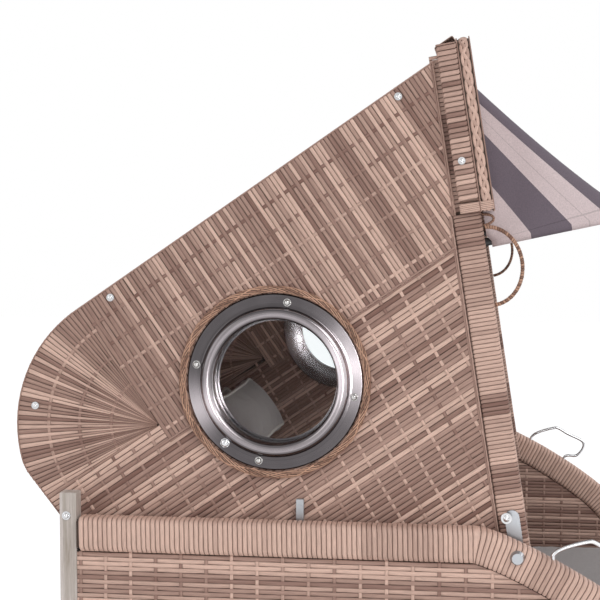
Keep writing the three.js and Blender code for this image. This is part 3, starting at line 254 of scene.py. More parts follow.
class StripWork:
    """Strips laid one by one and then made into one mesh"""

    def __init__(self):
        self.points, self.quads, self.uvs, self.tones, self.count = [], [], [], [], 0

    def lay(self, left, right, up, tone, thick=0.0012, shoulder=0.13):
        """One strip between two edge lines, with its top at them and its sides turned down"""
        span = right - left
        ring = np.stack([left - up * thick, left + span * shoulder, right - span * shoulder, right - up * thick], 1)
        total = len(left)
        middle = (left + right) / 2
        run = chance.uniform(0, 60) + run_of(middle)
        here = self.count + 4 * np.arange(total - 1)[:, None]
        flip = np.dot(np.cross(span[0] + span[-1], middle[-1] - middle[0] + 1e-9), up[0]) < 0
        if np.allclose(middle[0], middle[-1]):
            flip = np.dot(np.cross(span[0], middle[1] - middle[0]), up[0]) < 0
        across = (0.0, shoulder, 1 - shoulder, 1.0)
        for c in range(3):
            corners = [here + c, here + c + 1, here + c + 5, here + c + 4]
            runs = [run[:-1], run[:-1], run[1:], run[1:]]
            wide = [across[c], across[c + 1], across[c + 1], across[c]]
            if flip:
                corners, runs, wide = corners[::-1], runs[::-1], wide[::-1]
            self.quads.append(np.concatenate(corners, 1))
            self.uvs.append(np.stack([np.stack([np.full(total - 1, w), r], 1) for w, r in zip(wide, runs)], 1))
        self.points.append(ring.reshape(-1, 3))
        self.tones.append(np.full(total * 4, tone))
        self.count += total * 4

    def make(self, name, material):
        points, quads = np.concatenate(self.points), np.concatenate(self.quads)
        mesh = bpy.data.meshes.new(name)
        mesh.vertices.add(len(points))
        mesh.vertices.foreach_set("co", points.astype(np.float32).ravel())
        mesh.loops.add(quads.size)
        mesh.loops.foreach_set("vertex_index", quads.astype(np.int32).ravel())
        mesh.polygons.add(len(quads))
        mesh.polygons.foreach_set("loop_start", np.arange(0, quads.size, 4, dtype=np.int32))
        mesh.update(calc_edges=True)
        mesh.uv_layers.new(name="strip").uv.foreach_set("vector", np.concatenate(self.uvs).astype(np.float32).ravel())
        tones = np.concatenate(self.tones).astype(np.float32)
        mesh.attributes.new("tone", "FLOAT", "POINT").data.foreach_set("value", tones)
        mesh.materials.append(material)
        return linked(name, mesh)


def spans(point, way, loops):
    """The stretches of a line that lie inside closed outlines, as (from, to) distances from the point"""
    cuts = []
    square = np.array([-way[1], way[0]])
    for loop in loops:
        away = np.asarray(loop) - point
        side = away @ square
        after, side_after = np.roll(away, -1, 0), np.roll(side, -1)
        hit = (side > 0) != (side_after > 0)
        share = side[hit] / (side[hit] - side_after[hit])
        cuts += list((away[hit] + (after[hit] - away[hit]) * share[:, None]) @ way)
    cuts.sort()
    return list(zip(cuts[::2], cuts[1::2]))


def like(span, others):
    """The one of the other stretches that shares most with this one"""
    best = max(others, key=lambda o: min(o[1], span[1]) - max(o[0], span[0]), default=None)
    return best if best and min(best[1], span[1]) > max(best[0], span[0]) else (sum(span) / 2, sum(span) / 2)


def near(tone, spread):
    """A tone close to another, between dark at 0 and light at 1"""
    return float(np.clip(tone + chance.normal(0, spread), 0, 1))


def weave(work, place, loops, origin, along, pitch, bar_pitch, tones, bar_tones, bar=0.006, lean=0.0, first=0.0,
          share=0.955, dip=0.0017):
    """Strips laid along a direction over a region, each going over and under the bars in turn"""
    along = np.array(along, float) / np.linalg.norm(along)
    aside = np.array([-along[1], along[0]])
    origin = np.array(origin, float)
    offsets = (np.concatenate(loops) - origin) @ aside
    bars = {}
    for i in range(math.ceil(offsets.min() / pitch - 0.5), math.ceil(offsets.max() / pitch - 0.5)):
        middle = (i + 0.5) * pitch + chance.normal(0, pitch * 0.015)
        half = pitch * share / 2 * (1 + chance.uniform(-0.05, 0.04))
        tone = tones(i)
        sides = [spans(origin + aside * (middle + s * half), along, loops) for s in (-1, 1)]
        for begin, end in spans(origin + aside * middle, along, loops):
            stops, heights = [begin], [-dip / 2]
            for k in range(math.floor((begin - first - lean * middle) / bar_pitch),
                           math.ceil((end - first - lean * middle) / bar_pitch) + 1):
                cross = first + k * bar_pitch + lean * middle
                over = (i + k) % 2 == 0
                for s in (-0.5, 0.5):
                    if begin + 0.0005 < cross + s * bar < end - 0.0005:
                        stops.append(cross + s * bar)
                        heights.append(chance.uniform(-0.0002, 0) if over else -dip)
                if not over and begin < cross - bar * 0.6 and cross + bar * 0.6 < end:
                    if k not in bars:
                        bars[k] = bar_tones(k)
                    run = (middle + np.array([-0.64, -0.42, 0.42, 0.64]) * pitch)[:, None]
                    down = np.array([-dip, 0, 0, -dip])
                    slant = cross + lean * (run - middle)
                    left, right = (place(origin + aside * run + along * (slant + s * bar), down)[0] for s in (-0.5, 0.5))
                    work.lay(left, right, place(origin + aside * run + along * cross, down)[1], near(bars[k], 0.06))
            stops, heights = np.array(stops + [end]), np.array(heights + [-dip / 2])
            edges = []
            for s, other in zip((-1, 1), sides):
                low, high = like((begin, end), other)
                at = np.clip(stops, low, high)
                at[0], at[-1] = low, high
                flat = origin + aside * (middle + s * half + chance.normal(0, pitch * 0.008)) + along * at[:, None]
                edges.append(place(flat, heights))
            work.lay(edges[0][0], edges[1][0], edges[0][1], tone)


def mixed_tones(light_share=0.35, light=0.88, dark=0.3, spread=0.13):
    """Picks each strip's tone, with light ones mixed in"""
    return lambda number: near(light if chance.random() < light_share else dark, spread)


def on_face(point, up):
    """Puts an outline's points on a face: point(first, second, height) places them, and up is the way out"""
    def put(flat, height):
        height = np.broadcast_to(height, len(flat))
        return point(flat[:, 0], flat[:, 1], height), np.tile(np.array(up, float), (len(flat), 1))
    return put


def side_place(x, out):
    """Puts (rear, up) points on an upright face at x that looks along out (+1 or -1)"""
    return on_face(lambda rear, high, level: np.stack([x + out * level, rear, high], 1), (out, 0, 0))


def from_curve(name, lines, closed, material, **settings):
    """An object whose mesh is made from a curve through the points of each line"""
    curve = bpy.data.curves.new(name, "CURVE")
    for key, value in settings.items():
        setattr(curve, key, value)
    for line in lines:
        spline = curve.splines.new("POLY")
        spline.points.add(len(line) - 1)
        full = np.zeros((len(line), 4))
        full[:, :np.shape(line)[1]], full[:, 3] = line, 1
        spline.points.foreach_set("co", full.ravel())
        spline.use_cyclic_u = closed
    shape = bpy.data.objects.new(name, curve)
    mesh = bpy.data.meshes.new_from_object(shape)
    bpy.data.objects.remove(shape)
    mesh.materials.clear()
    mesh.materials.append(material)
    return linked(name, mesh)


def plate(name, loops, low, high, place, material):
    """A flat core with holes, filled between two levels; place(points, level) puts each face's points"""
    made = from_curve(name, loops, True, material, dimensions="2D", fill_mode="BOTH", extrude=(high - low) / 2)
    co = np.empty(len(made.data.vertices) * 3)
    made.data.vertices.foreach_get("co", co)
    co = co.reshape(-1, 3)
    level = (low + high) / 2 + co[:, 2]
    made.data.vertices.foreach_set("co", place(co[:, :2], level)[0].astype(np.float32).ravel())
    made.data.update()
    corners = place(np.array([(0, 0), (1, 0), (0, 1), (0, 0)]), np.array([0, 0, 0, 1.0]))[0]
    if np.linalg.det(corners[1:] - corners[0]) < 0:
        made.data.flip_normals()
    return made


strip = Effect("strip_grain_and_edge_shade", Light=(0.7, 0.475, 0.385, 1), Dark=(0.19, 0.095, 0.072, 1), Grain=0.5)
tone = strip.node("ShaderNodeAttribute", attribute_name="tone").outputs["Fac"]
lay_out = strip.node("ShaderNodeUVMap", uv_map="strip").outputs[0]
across, along = strip.node("ShaderNodeSeparateXYZ", Vector=lay_out).outputs[:2]
threads = strip.node("ShaderNodeCombineXYZ", X=strip.calc("MULTIPLY", across, 7.0),
                     Y=strip.calc("MULTIPLY", along, 26.0), Z=strip.calc("MULTIPLY", tone, 31.0)).outputs[0]
fine, slow = strip.noise(threads, 2.0, 4.0, 0.65), strip.noise(threads, 0.5, 2.0)
# Painted shade: each strip is darkened towards both its edges, as if shaded where it meets its neighbours
rim = strip.spread(strip.calc("PINGPONG", across, 0.5), 0.0, 0.14, 0.55, 1.0)
drift = strip.calc("MULTIPLY", strip.calc("SUBTRACT", slow, 0.5), 0.35)
body = mixed(strip.tree, strip.calc("ADD", tone, drift), strip.given["Dark"], strip.given["Light"])
streaks = strip.calc("MULTIPLY", strip.calc("SUBTRACT", fine, 0.5), strip.given["Grain"])
ridges = strip.calc("SINE", strip.calc("MULTIPLY", across, 8 * math.pi))
strip.give(body, strip.calc("MULTIPLY", strip.calc("MULTIPLY_ADD", streaks, 2.6, 1.0), rim),
           strip.calc("MULTIPLY_ADD", fine, 0.25, 0.5), strip.calc("MULTIPLY_ADD", ridges, 0.2, fine))
woven_strip = dressed("woven_strip", strip, 0.35, {}, distance=0.0004)

core_cloud = Effect("core_cloud", Tint=(0.06, 0.035, 0.024, 1))
cloud = core_cloud.noise(core_cloud.place, 90.0, 3.0)
core_cloud.give(core_cloud.given["Tint"], core_cloud.calc("ADD", cloud, 0.5),
                core_cloud.calc("MULTIPLY_ADD", cloud, 0.3, 0.6), cloud)
dark_core = dressed("dark_core", core_cloud, 0.3, {})


def bezier(points, steps):
    a, b, c, d = (np.array(p, float) for p in points)
    t = np.linspace(0, 1, steps + 1)[:, None]
    return (1 - t) ** 3 * a + 3 * (1 - t) ** 2 * t * b + 3 * (1 - t) * t * t * c + t ** 3 * d


def moved_in(line, depth):
    """An outline moved inward, to its left as it runs from the back over the top to the foot"""
    way = direction(line)
    return line + np.stack([-way[:, 1], way[:, 0]], 1) * depth


ARM_REAR, ARM_TOP, ARM_NOSE, FIRST_ROW = 0.5222, 0.784, -0.5515, (0, 0.07)
PITCH, BAR_PITCH = 0.0078, 0.043  # of the strips and of the bars that they cross
arm_top = np.concatenate([
    [(ARM_REAR, ARM_TOP), (0.3, ARM_TOP), (0.08, ARM_TOP)],
    bezier([(-0.1415, ARM_TOP), (-0.1815, ARM_TOP), (-0.337, 0.7066), (-0.4365, 0.626)], 24),
    bezier([(-0.4365, 0.626), (-0.4831, 0.5882), (ARM_NOSE, 0.5), (ARM_NOSE, 0.41)], 20)[1:],
    [(ARM_NOSE, 0.3), (ARM_NOSE, 0.18), (ARM_NOSE, 0.0636)],
])
side_outline = np.concatenate([moved_in(arm_top, 0.0583), [(ARM_REAR, 0.0639)]])


def woven_board(name, body, faces, dip=0.0014, replaced=None):
    """Strips woven over the faces of a board, as (place, outline)"""
    work = StripWork()
    for put, outline in faces:
        weave(work, put, [outline], FIRST_ROW, (1, 0), PITCH, BAR_PITCH, mixed_tones(), mixed_tones(), dip=dip)
    fit(work.make(name, woven_strip), body, replaced)


for side, out in SIDES:
    faces = [(side_place(x * out, facing * out), side_outline) for x, facing in ((0.632, 1), (0.604, -1))]
    woven_board(f"base_side_weave_{side}", "base", faces, 0.0017, f"base_side_{side}")
    core = plate(f"base_side_core_{side}", [side_outline], 0.6072, 0.6288, side_place(0, out), dark_core)
    fit(core, "base")

# Arm bands: a tube frame under foam, wrapped round and round with the same flat strip from the rear
# post, down over the nose and to the floor.


def wrap(work, path, side, up, section, pitch, tones, thick=0.0012, share=0.94):
    """A strip wound round a bar. path is its middle line, side and up its directions, at each point or
    for all, and section its outline in them, anticlockwise"""
    side, up = np.broadcast_to(side, path.shape), np.broadcast_to(up, path.shape)
    reach = run_of(path)
    section = np.asarray(section)
    slope = np.roll(section, -1, 0) - np.roll(section, 1, 0)
    outward = np.stack([slope[:, 1], -slope[:, 0]], 1) / np.linalg.norm(slope, axis=1)[:, None]
    section, outward = np.concatenate([section, section[:1]]), np.concatenate([outward, outward[:1]])
    lag = np.linspace(0, pitch, len(section))

    def at(distance, bulge):
        place, sideways, upward = (
            np.stack([np.interp(distance, reach, part[:, axis]) for axis in range(3)], 1) for part in (path, side, up)
        )
        off = section + outward * bulge
        return (place + sideways * off[:, :1] + upward * off[:, 1:],
                sideways * outward[:, :1] + upward * outward[:, 1:])

    start = -pitch
    while start < reach[-1]:
        wide = pitch * (1 + chance.uniform(-0.05, 0.05))
        edges = [at(np.clip(start + lag + s, 0, reach[-1]), -chance.uniform(0, 0.0003)) for s in (0, wide * share)]
        if start + wide > 0.0005 and start < reach[-1] - 0.002:
            work.lay(edges[0][0], edges[1][0], edges[0][1], tones(max(start, 0)), thick)
        start += wide


def rounded(half_wide, half_high, radius, steps=3):
    """A rectangle about zero with rounded corners, anticlockwise; a pair gives both ends of its width"""
    low, high = half_wide if isinstance(half_wide, tuple) else (-half_wide, half_wide)
    points = []
    for x, y, start in ((high - radius, radius - half_high, -90), (high - radius, half_high - radius, 0),
                        (low + radius, half_high - radius, 90), (low + radius, radius - half_high, 180)):
        for i in range(steps + 1):
            angle = math.radians(start + 90 * i / steps)
            points.append((x + radius * math.cos(angle), y + radius * math.sin(angle)))
    return np.array(points)


def in_runs(low, high, light_share=0.45, light=0.8, dark=0.3, spread=0.08):
    """Tones that stay alike over runs of neighbouring turns, as where one strip is wound on for a while"""
    state = {"until": -1.0, "tone": dark}

    def pick(distance):
        if distance > state["until"] or distance < state["until"] - high:
            state["until"] = distance + chance.uniform(low, high)
            state["tone"] = light if chance.random() < light_share else dark
        return near(state["tone"], spread)
    return pick


ARM_ASIDE = 0.618  # of an arm's middle, from the chair's
arm_middle = moved_in(arm_top, 0.029)
arm_way = direction(arm_middle)
for side, out in SIDES:
    work = StripWork()
    path = np.c_[np.full(len(arm_middle), ARM_ASIDE * out), arm_middle]
    upward = np.c_[np.zeros(len(arm_middle)), arm_way[:, 1], -arm_way[:, 0]]
    # The arm's strip keeps its own light and dark runs, but every tone is pushed pale: painted highlight for the
    # brightly lit arm band
    wrap(work, path, (1, 0, 0), upward, rounded(0.023, 0.029, 0.012), 0.0082, in_runs(0.05, 0.16, 0.9, 0.97, 0.72),
         thick=0.0016)
    band = work.make(f"arm_wrap_{side}", woven_strip)
    loop = np.concatenate([moved_in(arm_top, 0.0065), moved_in(arm_top, 0.0515)[::-1]])
    core = plate(f"arm_core_{side}", [loop], 0.6015, 0.6345, side_place(0, out), dark_core)
    fit(band, "base", f"arm_band_{side}")
    fit(core, "base")

# Front panel, rear wall and footrests: boards covered with the same weave. The rear wall ends in a
# round rail wound with strip, and each footrest is woven on its front and both sides.


def upright_place(y, out):
    """Puts (x, up) points on an upright face at y that looks along out (+1 or -1)"""
    return on_face(lambda x, high, level: np.stack([x, y + out * level, high], 1), (0, out, 0))


def oblong(x0, z0, x1, z1):
    return np.array([(x0, z0), (x1, z0), (x1, z1), (x0, z1)])


def circle(radius, angles):
    return radius * np.stack([np.cos(angles), np.sin(angles)], 1)


PROUD = 0.0016  # strips over the board's face
BAY_TOP, BOARD_FOOT, BOARD_FRONT = 0.3302, 0.0638, -0.5415
BAY_SIDE, BAY_MIDDLE, BOARD_SIDE = 0.5252, 0.0138, 0.5945
half_comb = np.array([(-BOARD_SIDE, BOARD_FOOT), (-BAY_SIDE, BOARD_FOOT), (-BAY_SIDE, BAY_TOP), (-BAY_MIDDLE, BAY_TOP),
                      (-BAY_MIDDLE, BOARD_FOOT)])
comb = np.concatenate([half_comb, half_comb[::-1] * (-1, 1), [(BOARD_SIDE, 0.3998), (-BOARD_SIDE, 0.3998)]])
front = upright_place(BOARD_FRONT - PROUD, -1)
woven_board("front_panel_weave", "base", [(front, comb)])
wall = oblong(-0.6035, 0.064, 0.6035, 0.504)
wall_faces = [(upright_place(0.548 + PROUD, 1), wall), (upright_place(0.526 - PROUD, -1), wall)]
woven_board("rear_wall_weave", "base", wall_faces)
for side, out in SIDES:
    low, high = sorted((0.0165 * out, 0.5225 * out))
    flank = oblong(-0.5413, 0.064, -0.0268, 0.2533)
    flanks = [(side_place(0.523 * out + PROUD * out, out), flank), (side_place(0.016 * out - PROUD * out, -out), flank)]
    woven_board(f"footrest_weave_{side}", f"footrest_{side}", [(front, oblong(low, 0.064, high, 0.2533))] + flanks)
work = StripWork()
wrap(work, np.array([(-0.6035, 0.537, 0.52), (0.6035, 0.537, 0.52)]), (0, 1, 0), (0, 0, 1),
     circle(0.0206, np.linspace(0, 2 * math.pi, 24, endpoint=False)), 0.0082, in_runs(0.04, 0.2), thick=0.0014)
fit(work.make("rear_rail_wrap", woven_strip), "base")
shown(dark_core, "front_panel", "rear_wall", "footrest_left", "footrest_right")
shown(board_upright, "rear_post_left", "rear_post_right")

# Hood side panels: the same strips on a thin core. Under the roof they stand square to it, below a
# slanting line they run along it, and a fan of them turns the rear corner.
LEAN, ROOF, BACK = math.radians(8.85), math.radians(25.44), math.radians(61)
PIVOT = np.array([-0.2115, 0.74])  # the hood's, as (rear, up)
SIDE_FACE = 0.58  # of the hood's side panels


def hood_way(u, v):
    """A way in the hood's own frame, u to the rear and v up the front edge"""
    return np.array([0.0, u * math.cos(LEAN) + v * math.sin(LEAN), -u * math.sin(LEAN) + v * math.cos(LEAN)])


def hood_point(x, u, v):
    """A point of the hood's own frame, from the pivot"""
    return np.stack(np.broadcast_arrays(x, PIVOT[0] + u * math.cos(LEAN) + v * math.sin(LEAN),
                                        PIVOT[1] - u * math.sin(LEAN) + v * math.cos(LEAN)), -1)


def hood_side_place(x, out):
    return on_face(lambda u, v, level: hood_point(x + out * level, u, v), (out, 0, 0))


def turned(centre, radius, degrees):
    angle = np.radians(degrees)
    return centre + radius * np.stack([np.cos(angle), np.sin(angle)], -1)


def roof_v(u):
    return 0.834 - math.tan(ROOF) * (u + 0.023)


roof_way, roof_square = np.array([math.cos(ROOF), -math.sin(ROOF)]), np.array([math.sin(ROOF), math.cos(ROOF)])
back_way = np.array([-math.cos(BACK), -math.sin(BACK)])
FAN_TOP, POST_EDGE, PANEL_FOOT, BACK_RUN = 64.56, 0.0243, -0.045, 0.713
fan_eye, lower_eye = np.array([0.577, 0.2828]), np.array([0.7384, 0.2687])
rear_curve = np.concatenate([turned(fan_eye, 0.24, np.linspace(FAN_TOP, -5, 30)),
                             turned(lower_eye, 0.078, np.linspace(-5, -29, 8))[1:]])
back_foot = rear_curve[-1] + back_way * BACK_RUN
panel_outline = np.concatenate([[(POST_EDGE, PANEL_FOOT), (POST_EDGE, roof_v(POST_EDGE))], rear_curve,
                                [back_foot, turned(lower_eye, 0.054, -29) + back_way * BACK_RUN]])
port_middle = np.array([0.3574, 0.3305])
port_hole = turned(port_middle, 0.1072, np.linspace(0, 360, 64, endpoint=False))
fan_apex = fan_eye - roof_way * 0.011 - roof_square * 0.0027
fan_line, level_line = (fan_apex, fan_apex + roof_square), (fan_apex, fan_apex - roof_way)
seam_eye = fan_apex - roof_square * 0.0328
seam_line = (seam_eye, seam_eye - roof_way)


def clipped(outline, side):
    """The part of an outline on the left of a line from side[0] to side[1]"""
    kept = []
    normal = np.array([-(side[1] - side[0])[1], (side[1] - side[0])[0]])
    away = (outline - side[0]) @ normal
    for i in range(len(outline)):
        j = (i + 1) % len(outline)
        if away[i] >= 0:
            kept.append(outline[i])
        if (away[i] >= 0) != (away[j] >= 0):
            kept.append(outline[i] + (outline[j] - outline[i]) * away[i] / (away[i] - away[j]))
    return np.array(kept)


def fan(work, put, loops, turns=46, arcs=(0.029, 0.084, 0.14, 0.194)):
    """Wedge-cut strips spread from one point like a hand of cards, with bars across them on arcs"""
    arc_tones = [chance.uniform(0.15, 0.6) for _ in arcs]
    pick = mixed_tones(0.35, 0.9, 0.24, 0.14)
    step = math.radians(90 / turns)
    for j in range(turns):
        angle = math.radians(FAN_TOP) - step * (j + 0.5)
        way = np.array([math.cos(angle), math.sin(angle)])
        aside = np.array([-way[1], way[0]])
        share = 0.47 * (1 + chance.uniform(-0.05, 0.05))
        end = max(b for a, b in spans(fan_apex, way, loops))
        stops, heights = [0.004], [0.0]
        for k, radius in enumerate(arcs):
            over = (j + k) % 2 == 0
            for s in (-0.5, 0.5):
                stops.append(radius + s * 0.006)
                heights.append(0.0 if over or radius < 0.05 else -0.0015)
            if not over and radius > 0.05:
                run = np.array([-1.15, -0.75, 0.75, 1.15])[:, None] * (radius * step * 0.6)
                down = np.array([-0.0017, -0.0001, -0.0001, -0.0017])
                edges = [put(fan_apex + way * (radius + s * 0.006) + aside * run, down)[0] for s in (-0.5, 0.5)]
                work.lay(edges[0], edges[1], put(fan_apex + way * radius + aside * run, down)[1], near(arc_tones[k], 0.06))
        stops, heights = np.array(stops + [end]), np.array(heights + [-0.0005])
        order = np.argsort(stops)
        stops, heights = stops[order], heights[order] - 0.0006 * (j % 2)
        half = (stops * step * share)[:, None]
        left, up = put(fan_apex + way * stops[:, None] + aside * half, heights)
        right, _ = put(fan_apex + way * stops[:, None] - aside * half, heights - 0.0003)
        work.lay(right, left, up, pick(j))


def lay_on(work, put, line, half, level, tone):
    """One strip on a face, along a line; half is the way from the line to the strip's edge"""
    work.lay(put(line - half, level)[0], put(line + half, level)[0], put(line, level)[1], tone)


UNDER_VISOR = 0.56  # from here up the weave runs on over the post, behind the visor's leg
for side, out in SIDES:
    work = StripWork()
    for x, facing, front in ((SIDE_FACE * out, out, 0.0171), (0.552 * out, -out, POST_EDGE)):
        put = hood_side_place(x, facing)
        outline = np.concatenate([[(POST_EDGE, PANEL_FOOT), (POST_EDGE, UNDER_VISOR), (front, UNDER_VISOR),
                                   (front, roof_v(front))], panel_outline[2:]])
        above = clipped(clipped(outline, seam_line[::-1]), fan_line)
        below = clipped(outline, level_line)
        notch = clipped(clipped(below, seam_line[::-1]), fan_line)
        weave(work, put, [above, clipped(port_hole, seam_line[::-1])], fan_apex + roof_square * 0.2037, -roof_square,
              0.0074, BAR_PITCH, mixed_tones(), mixed_tones(0.4))
        weave(work, put, [below, notch, clipped(port_hole, seam_line)], seam_eye, -roof_way, 0.0082, 0.038,
              mixed_tones(), mixed_tones(0.4), lean=math.tan(math.radians(-4)), first=0.012)
        fan(work, put, [outline])
        for offset, tone in ((0.0030, 0.35), (-0.0010, 0.2)):
            eye = seam_eye + roof_square * offset
            for begin, end in spans(eye, -roof_way, [outline, port_hole]):
                begin = max(begin, 0.0)
                if end > begin:
                    line = eye - roof_way * np.linspace(begin, end, 12)[:, None]
                    lay_on(work, put, line, roof_square * 0.0016, 0.0004, tone)
        for offset, tone in ((0.0018, 0.5), (0.0047, 0.3)):
            for u, low, high in ((POST_EDGE, PANEL_FOOT, UNDER_VISOR), (front, UNDER_VISOR, roof_v(front) - 0.003)):
                line = np.stack([np.full(20, u + offset), np.linspace(low, high, 20)], 1)
                lay_on(work, put, line, np.array([0.0013, 0]), 0.0003, tone)
        rim_line = np.concatenate([[(front, roof_v(front))], rear_curve, [back_foot]])
        edges = [put(moved_in(rim_line[::-1], inset)[::-1], 0.0004) for inset in (0.0002, 0.0026)]
        work.lay(edges[0][0], edges[1][0], edges[0][1], 0.35)
    cloth = work.make(f"hood_side_weave_{side}", woven_strip)
    core = plate(f"hood_side_core_{side}", [panel_outline, port_hole], 0.5552, 0.5768, hood_side_place(0, out),
                 dark_core)
    fit(cloth, "hood", f"hood_side_{side}")
    fit(core, "hood")

# Front posts: square tubes inside foam, wound with the same strip in light and dark runs, with one
# strip left lengthwise on the rear edge.
post_runs = ((0.83, 0.75), (0.72, 0.2), (0.61, 0.7), (0.56, 0.3), (0.495, 0.6), (0.401, 0.82), (0.252, 0.22),
             (0.219, 0.8), (0.132, 0.25), (0.083, 0.8), (0.05, 0.2), (0.01, 0.7), (-0.03, 0.3))


def post_tone(distance):
    """The tone at a distance up the post, from the list of (top of run, tone)"""
    v = distance - 0.052
    tone = [t for top, t in post_runs if v <= top][-1] if v <= post_runs[0][0] else 0.5
    return near(tone, 0.09)


POST_FOOT = -0.0515
for side, out in SIDES:
    work = StripWork()
    for low, high, outer in ((POST_FOOT, UNDER_VISOR, 0.022), (UNDER_VISOR, 0.8225, 0.0185)):
        path = np.stack([hood_point(0.558 * out, 0.0005, v) for v in (low, high)])
        section = rounded(tuple(sorted((outer * out, -0.022 * out))), 0.0235, 0.005)
        wrap(work, path, (1, 0, 0), hood_way(1, 0), section, 0.007, lambda d, low=low: post_tone(d + low - POST_FOOT))
    wound = work.make(f"front_post_wrap_{side}", woven_strip)
    loop = np.array([(-0.021, -0.046), (0.022, -0.046)] + [(u, roof_v(u) - 0.002) for u in (0.022, -0.021)])
    core = plate(f"front_post_core_{side}", [loop], 0.538, 0.5755, hood_side_place(0, out), dark_core)
    fit(wound, "hood", f"front_post_{side}")
    fit(core, "hood")

# Hood shell: roof and back in one woven sheet from side to side, strips across and bars along it,
# carried over the side panels' edges, with a wrapped header rail at the mouth.
roof_line = [fan_eye + roof_square * 0.24 - roof_way * t for t in np.linspace(0.62, 0.02, 24)]
back_line = [rear_curve[-1] + back_way * t for t in np.linspace(0.03, BACK_RUN, 24)]
shell_line = np.concatenate([[(-0.023, roof_v(-0.023))], roof_line, rear_curve, back_line])
shell_line = shell_line[np.concatenate([[True], np.diff(shell_line @ roof_way) != 0])]
for inset, out, side, start, name in ((0.0, 1, 0.5798, 0.036, "outer"), (0.024, -1, 0.5517, 0.05, "inner")):
    line = moved_in(shell_line[::-1], inset)[::-1] if inset else shell_line
    way, reach = direction(line), run_of(line)

    def put(flat, height, line=line, way=way, reach=reach, out=out):
        height = np.broadcast_to(height, len(flat))
        at = [np.interp(flat[:, 1], reach, line[:, i]) for i in (0, 1)]
        normal = np.stack([-np.interp(flat[:, 1], reach, way[:, 1]), np.interp(flat[:, 1], reach, way[:, 0])], 1) * out
        up = np.stack([np.zeros(len(flat)), normal[:, 0] * math.cos(LEAN) + normal[:, 1] * math.sin(LEAN),
                       -normal[:, 0] * math.sin(LEAN) + normal[:, 1] * math.cos(LEAN)], 1)
        return hood_point(flat[:, 0], at[0] + normal[:, 0] * height, at[1] + normal[:, 1] * height), up

    work = StripWork()
    sheet = oblong(-side, start, side, reach[-1] - 0.002)
    weave(work, put, [sheet], (0, start), (1, 0), 0.0074, BAR_PITCH, mixed_tones(), mixed_tones(0.4), first=0.0215)
    fit(work.make(f"hood_shell_{name}", woven_strip), "hood", "hood_shell" if out > 0 else None)
loop = np.concatenate([moved_in(shell_line[::-1], 0.0032)[::-1], moved_in(shell_line[::-1], 0.0208)])
fit(plate("hood_shell_core", [loop], -0.5516, 0.5516, hood_side_place(0, 1), dark_core), "hood")
work = StripWork()
wrap(work, hood_point(np.array([-0.5357, 0.5357]), 0.0005, 0.7985), hood_way(1, 0), hood_way(0, 1),
     rounded(0.0235, 0.0165, 0.005), 0.0076, in_runs(0.04, 0.2))
fit(work.make("header_wrap", woven_strip), "hood")

# Visor: a wrapped frame over the mouth of the hood. Its legs stand on the posts' outer faces, their
# strips square across, and its front carries the plaited rim.


def visor_tone(distance):
    return near(chance.choice([0.85, 0.6, 0.35, 0.15], p=[0.35, 0.3, 0.2, 0.15]), 0.08)


LEG_FOOT, LEG_WRAP = 0.5595, 0.5765
rear_way = hood_way(1, 0)
work = StripWork()
for out in (-1, 1):
    path = np.stack([hood_point(0.5883 * out, -0.0067, v) for v in (LEG_WRAP, 0.838)])
    wrap(work, path, (1, 0, 0), rear_way, rounded(0.008, 0.0166, 0.003), 0.0085, visor_tone, share=0.9)
    for x, u, half_x, half_u in ((0.5883, -0.0067, 0.0083, 0.0169), (0.5683, -0.0351, 0.0284, 0.0118)):
        path = np.stack([hood_point(x * out, u, v) for v in (LEG_FOOT, LEG_WRAP)])
        wrap(work, path, (1, 0, 0), rear_way, rounded(half_x, half_u, 0.003), 0.0028, lambda d: 0.93, 0.0009, 0.85)
wrap(work, hood_point(np.array([-0.5963, 0.5963]), -0.0067, roof_v(-0.0067) + 0.0083),
     roof_way[0] * rear_way + roof_way[1] * hood_way(0, 1), roof_square[0] * rear_way + roof_square[1] * hood_way(0, 1),
     rounded(0.0182, 0.0078, 0.003), 0.0085, visor_tone, share=0.9)
fit(work.make("visor_wrap", woven_strip), "hood", "visor")
corner_line = np.concatenate([[(-0.5683, 0.56), (-0.5683, 0.70)],
                              np.array([-0.5463, 0.799]) + circle(0.022, np.linspace(math.pi, math.pi / 2, 8))])
rim_path = np.concatenate([corner_line, [(-0.3, 0.821), (0, 0.821), (0.3, 0.821)], corner_line[::-1] * (-1, 1)])
loop = np.concatenate([moved_in(rim_path, 0.0245), moved_in(rim_path, -0.0245)[::-1]])
front_place = on_face(lambda x, v, level: hood_point(x, level, v), -rear_way)
fit(plate("visor_rim_core", [loop], -0.0446, -0.0256, front_place, dark_core), "hood")


def plait(work, path, side, up, half, strand_tones, wave, wide, lift=0.0022):
    """Strands that run along a bar and swing from edge to edge, each over and under its neighbours"""
    reach = run_of(path)
    run = np.linspace(0, reach[-1], int(reach[-1] / (wave / 12)))
    place, sideways, upward = (
        np.stack([np.interp(run, reach, part[:, axis]) for axis in range(3)], 1) for part in (path, side, up)
    )
    for number, tone in enumerate(strand_tones):
        phase = 2 * math.pi * number / len(strand_tones)
        swing = np.sin(2 * math.pi * run / wave + phase)
        rise = np.cos(4 * math.pi * run / wave + 2 * phase)
        middle = place + sideways * (half * swing)[:, None] + upward * (lift * (rise - 1) / 2)[:, None]
        square = np.cross(direction(middle), upward)
        square /= np.linalg.norm(square, axis=1)[:, None]
        work.lay(middle - square * wide / 2, middle + square * wide / 2, upward, tone, 0.002, 0.25)


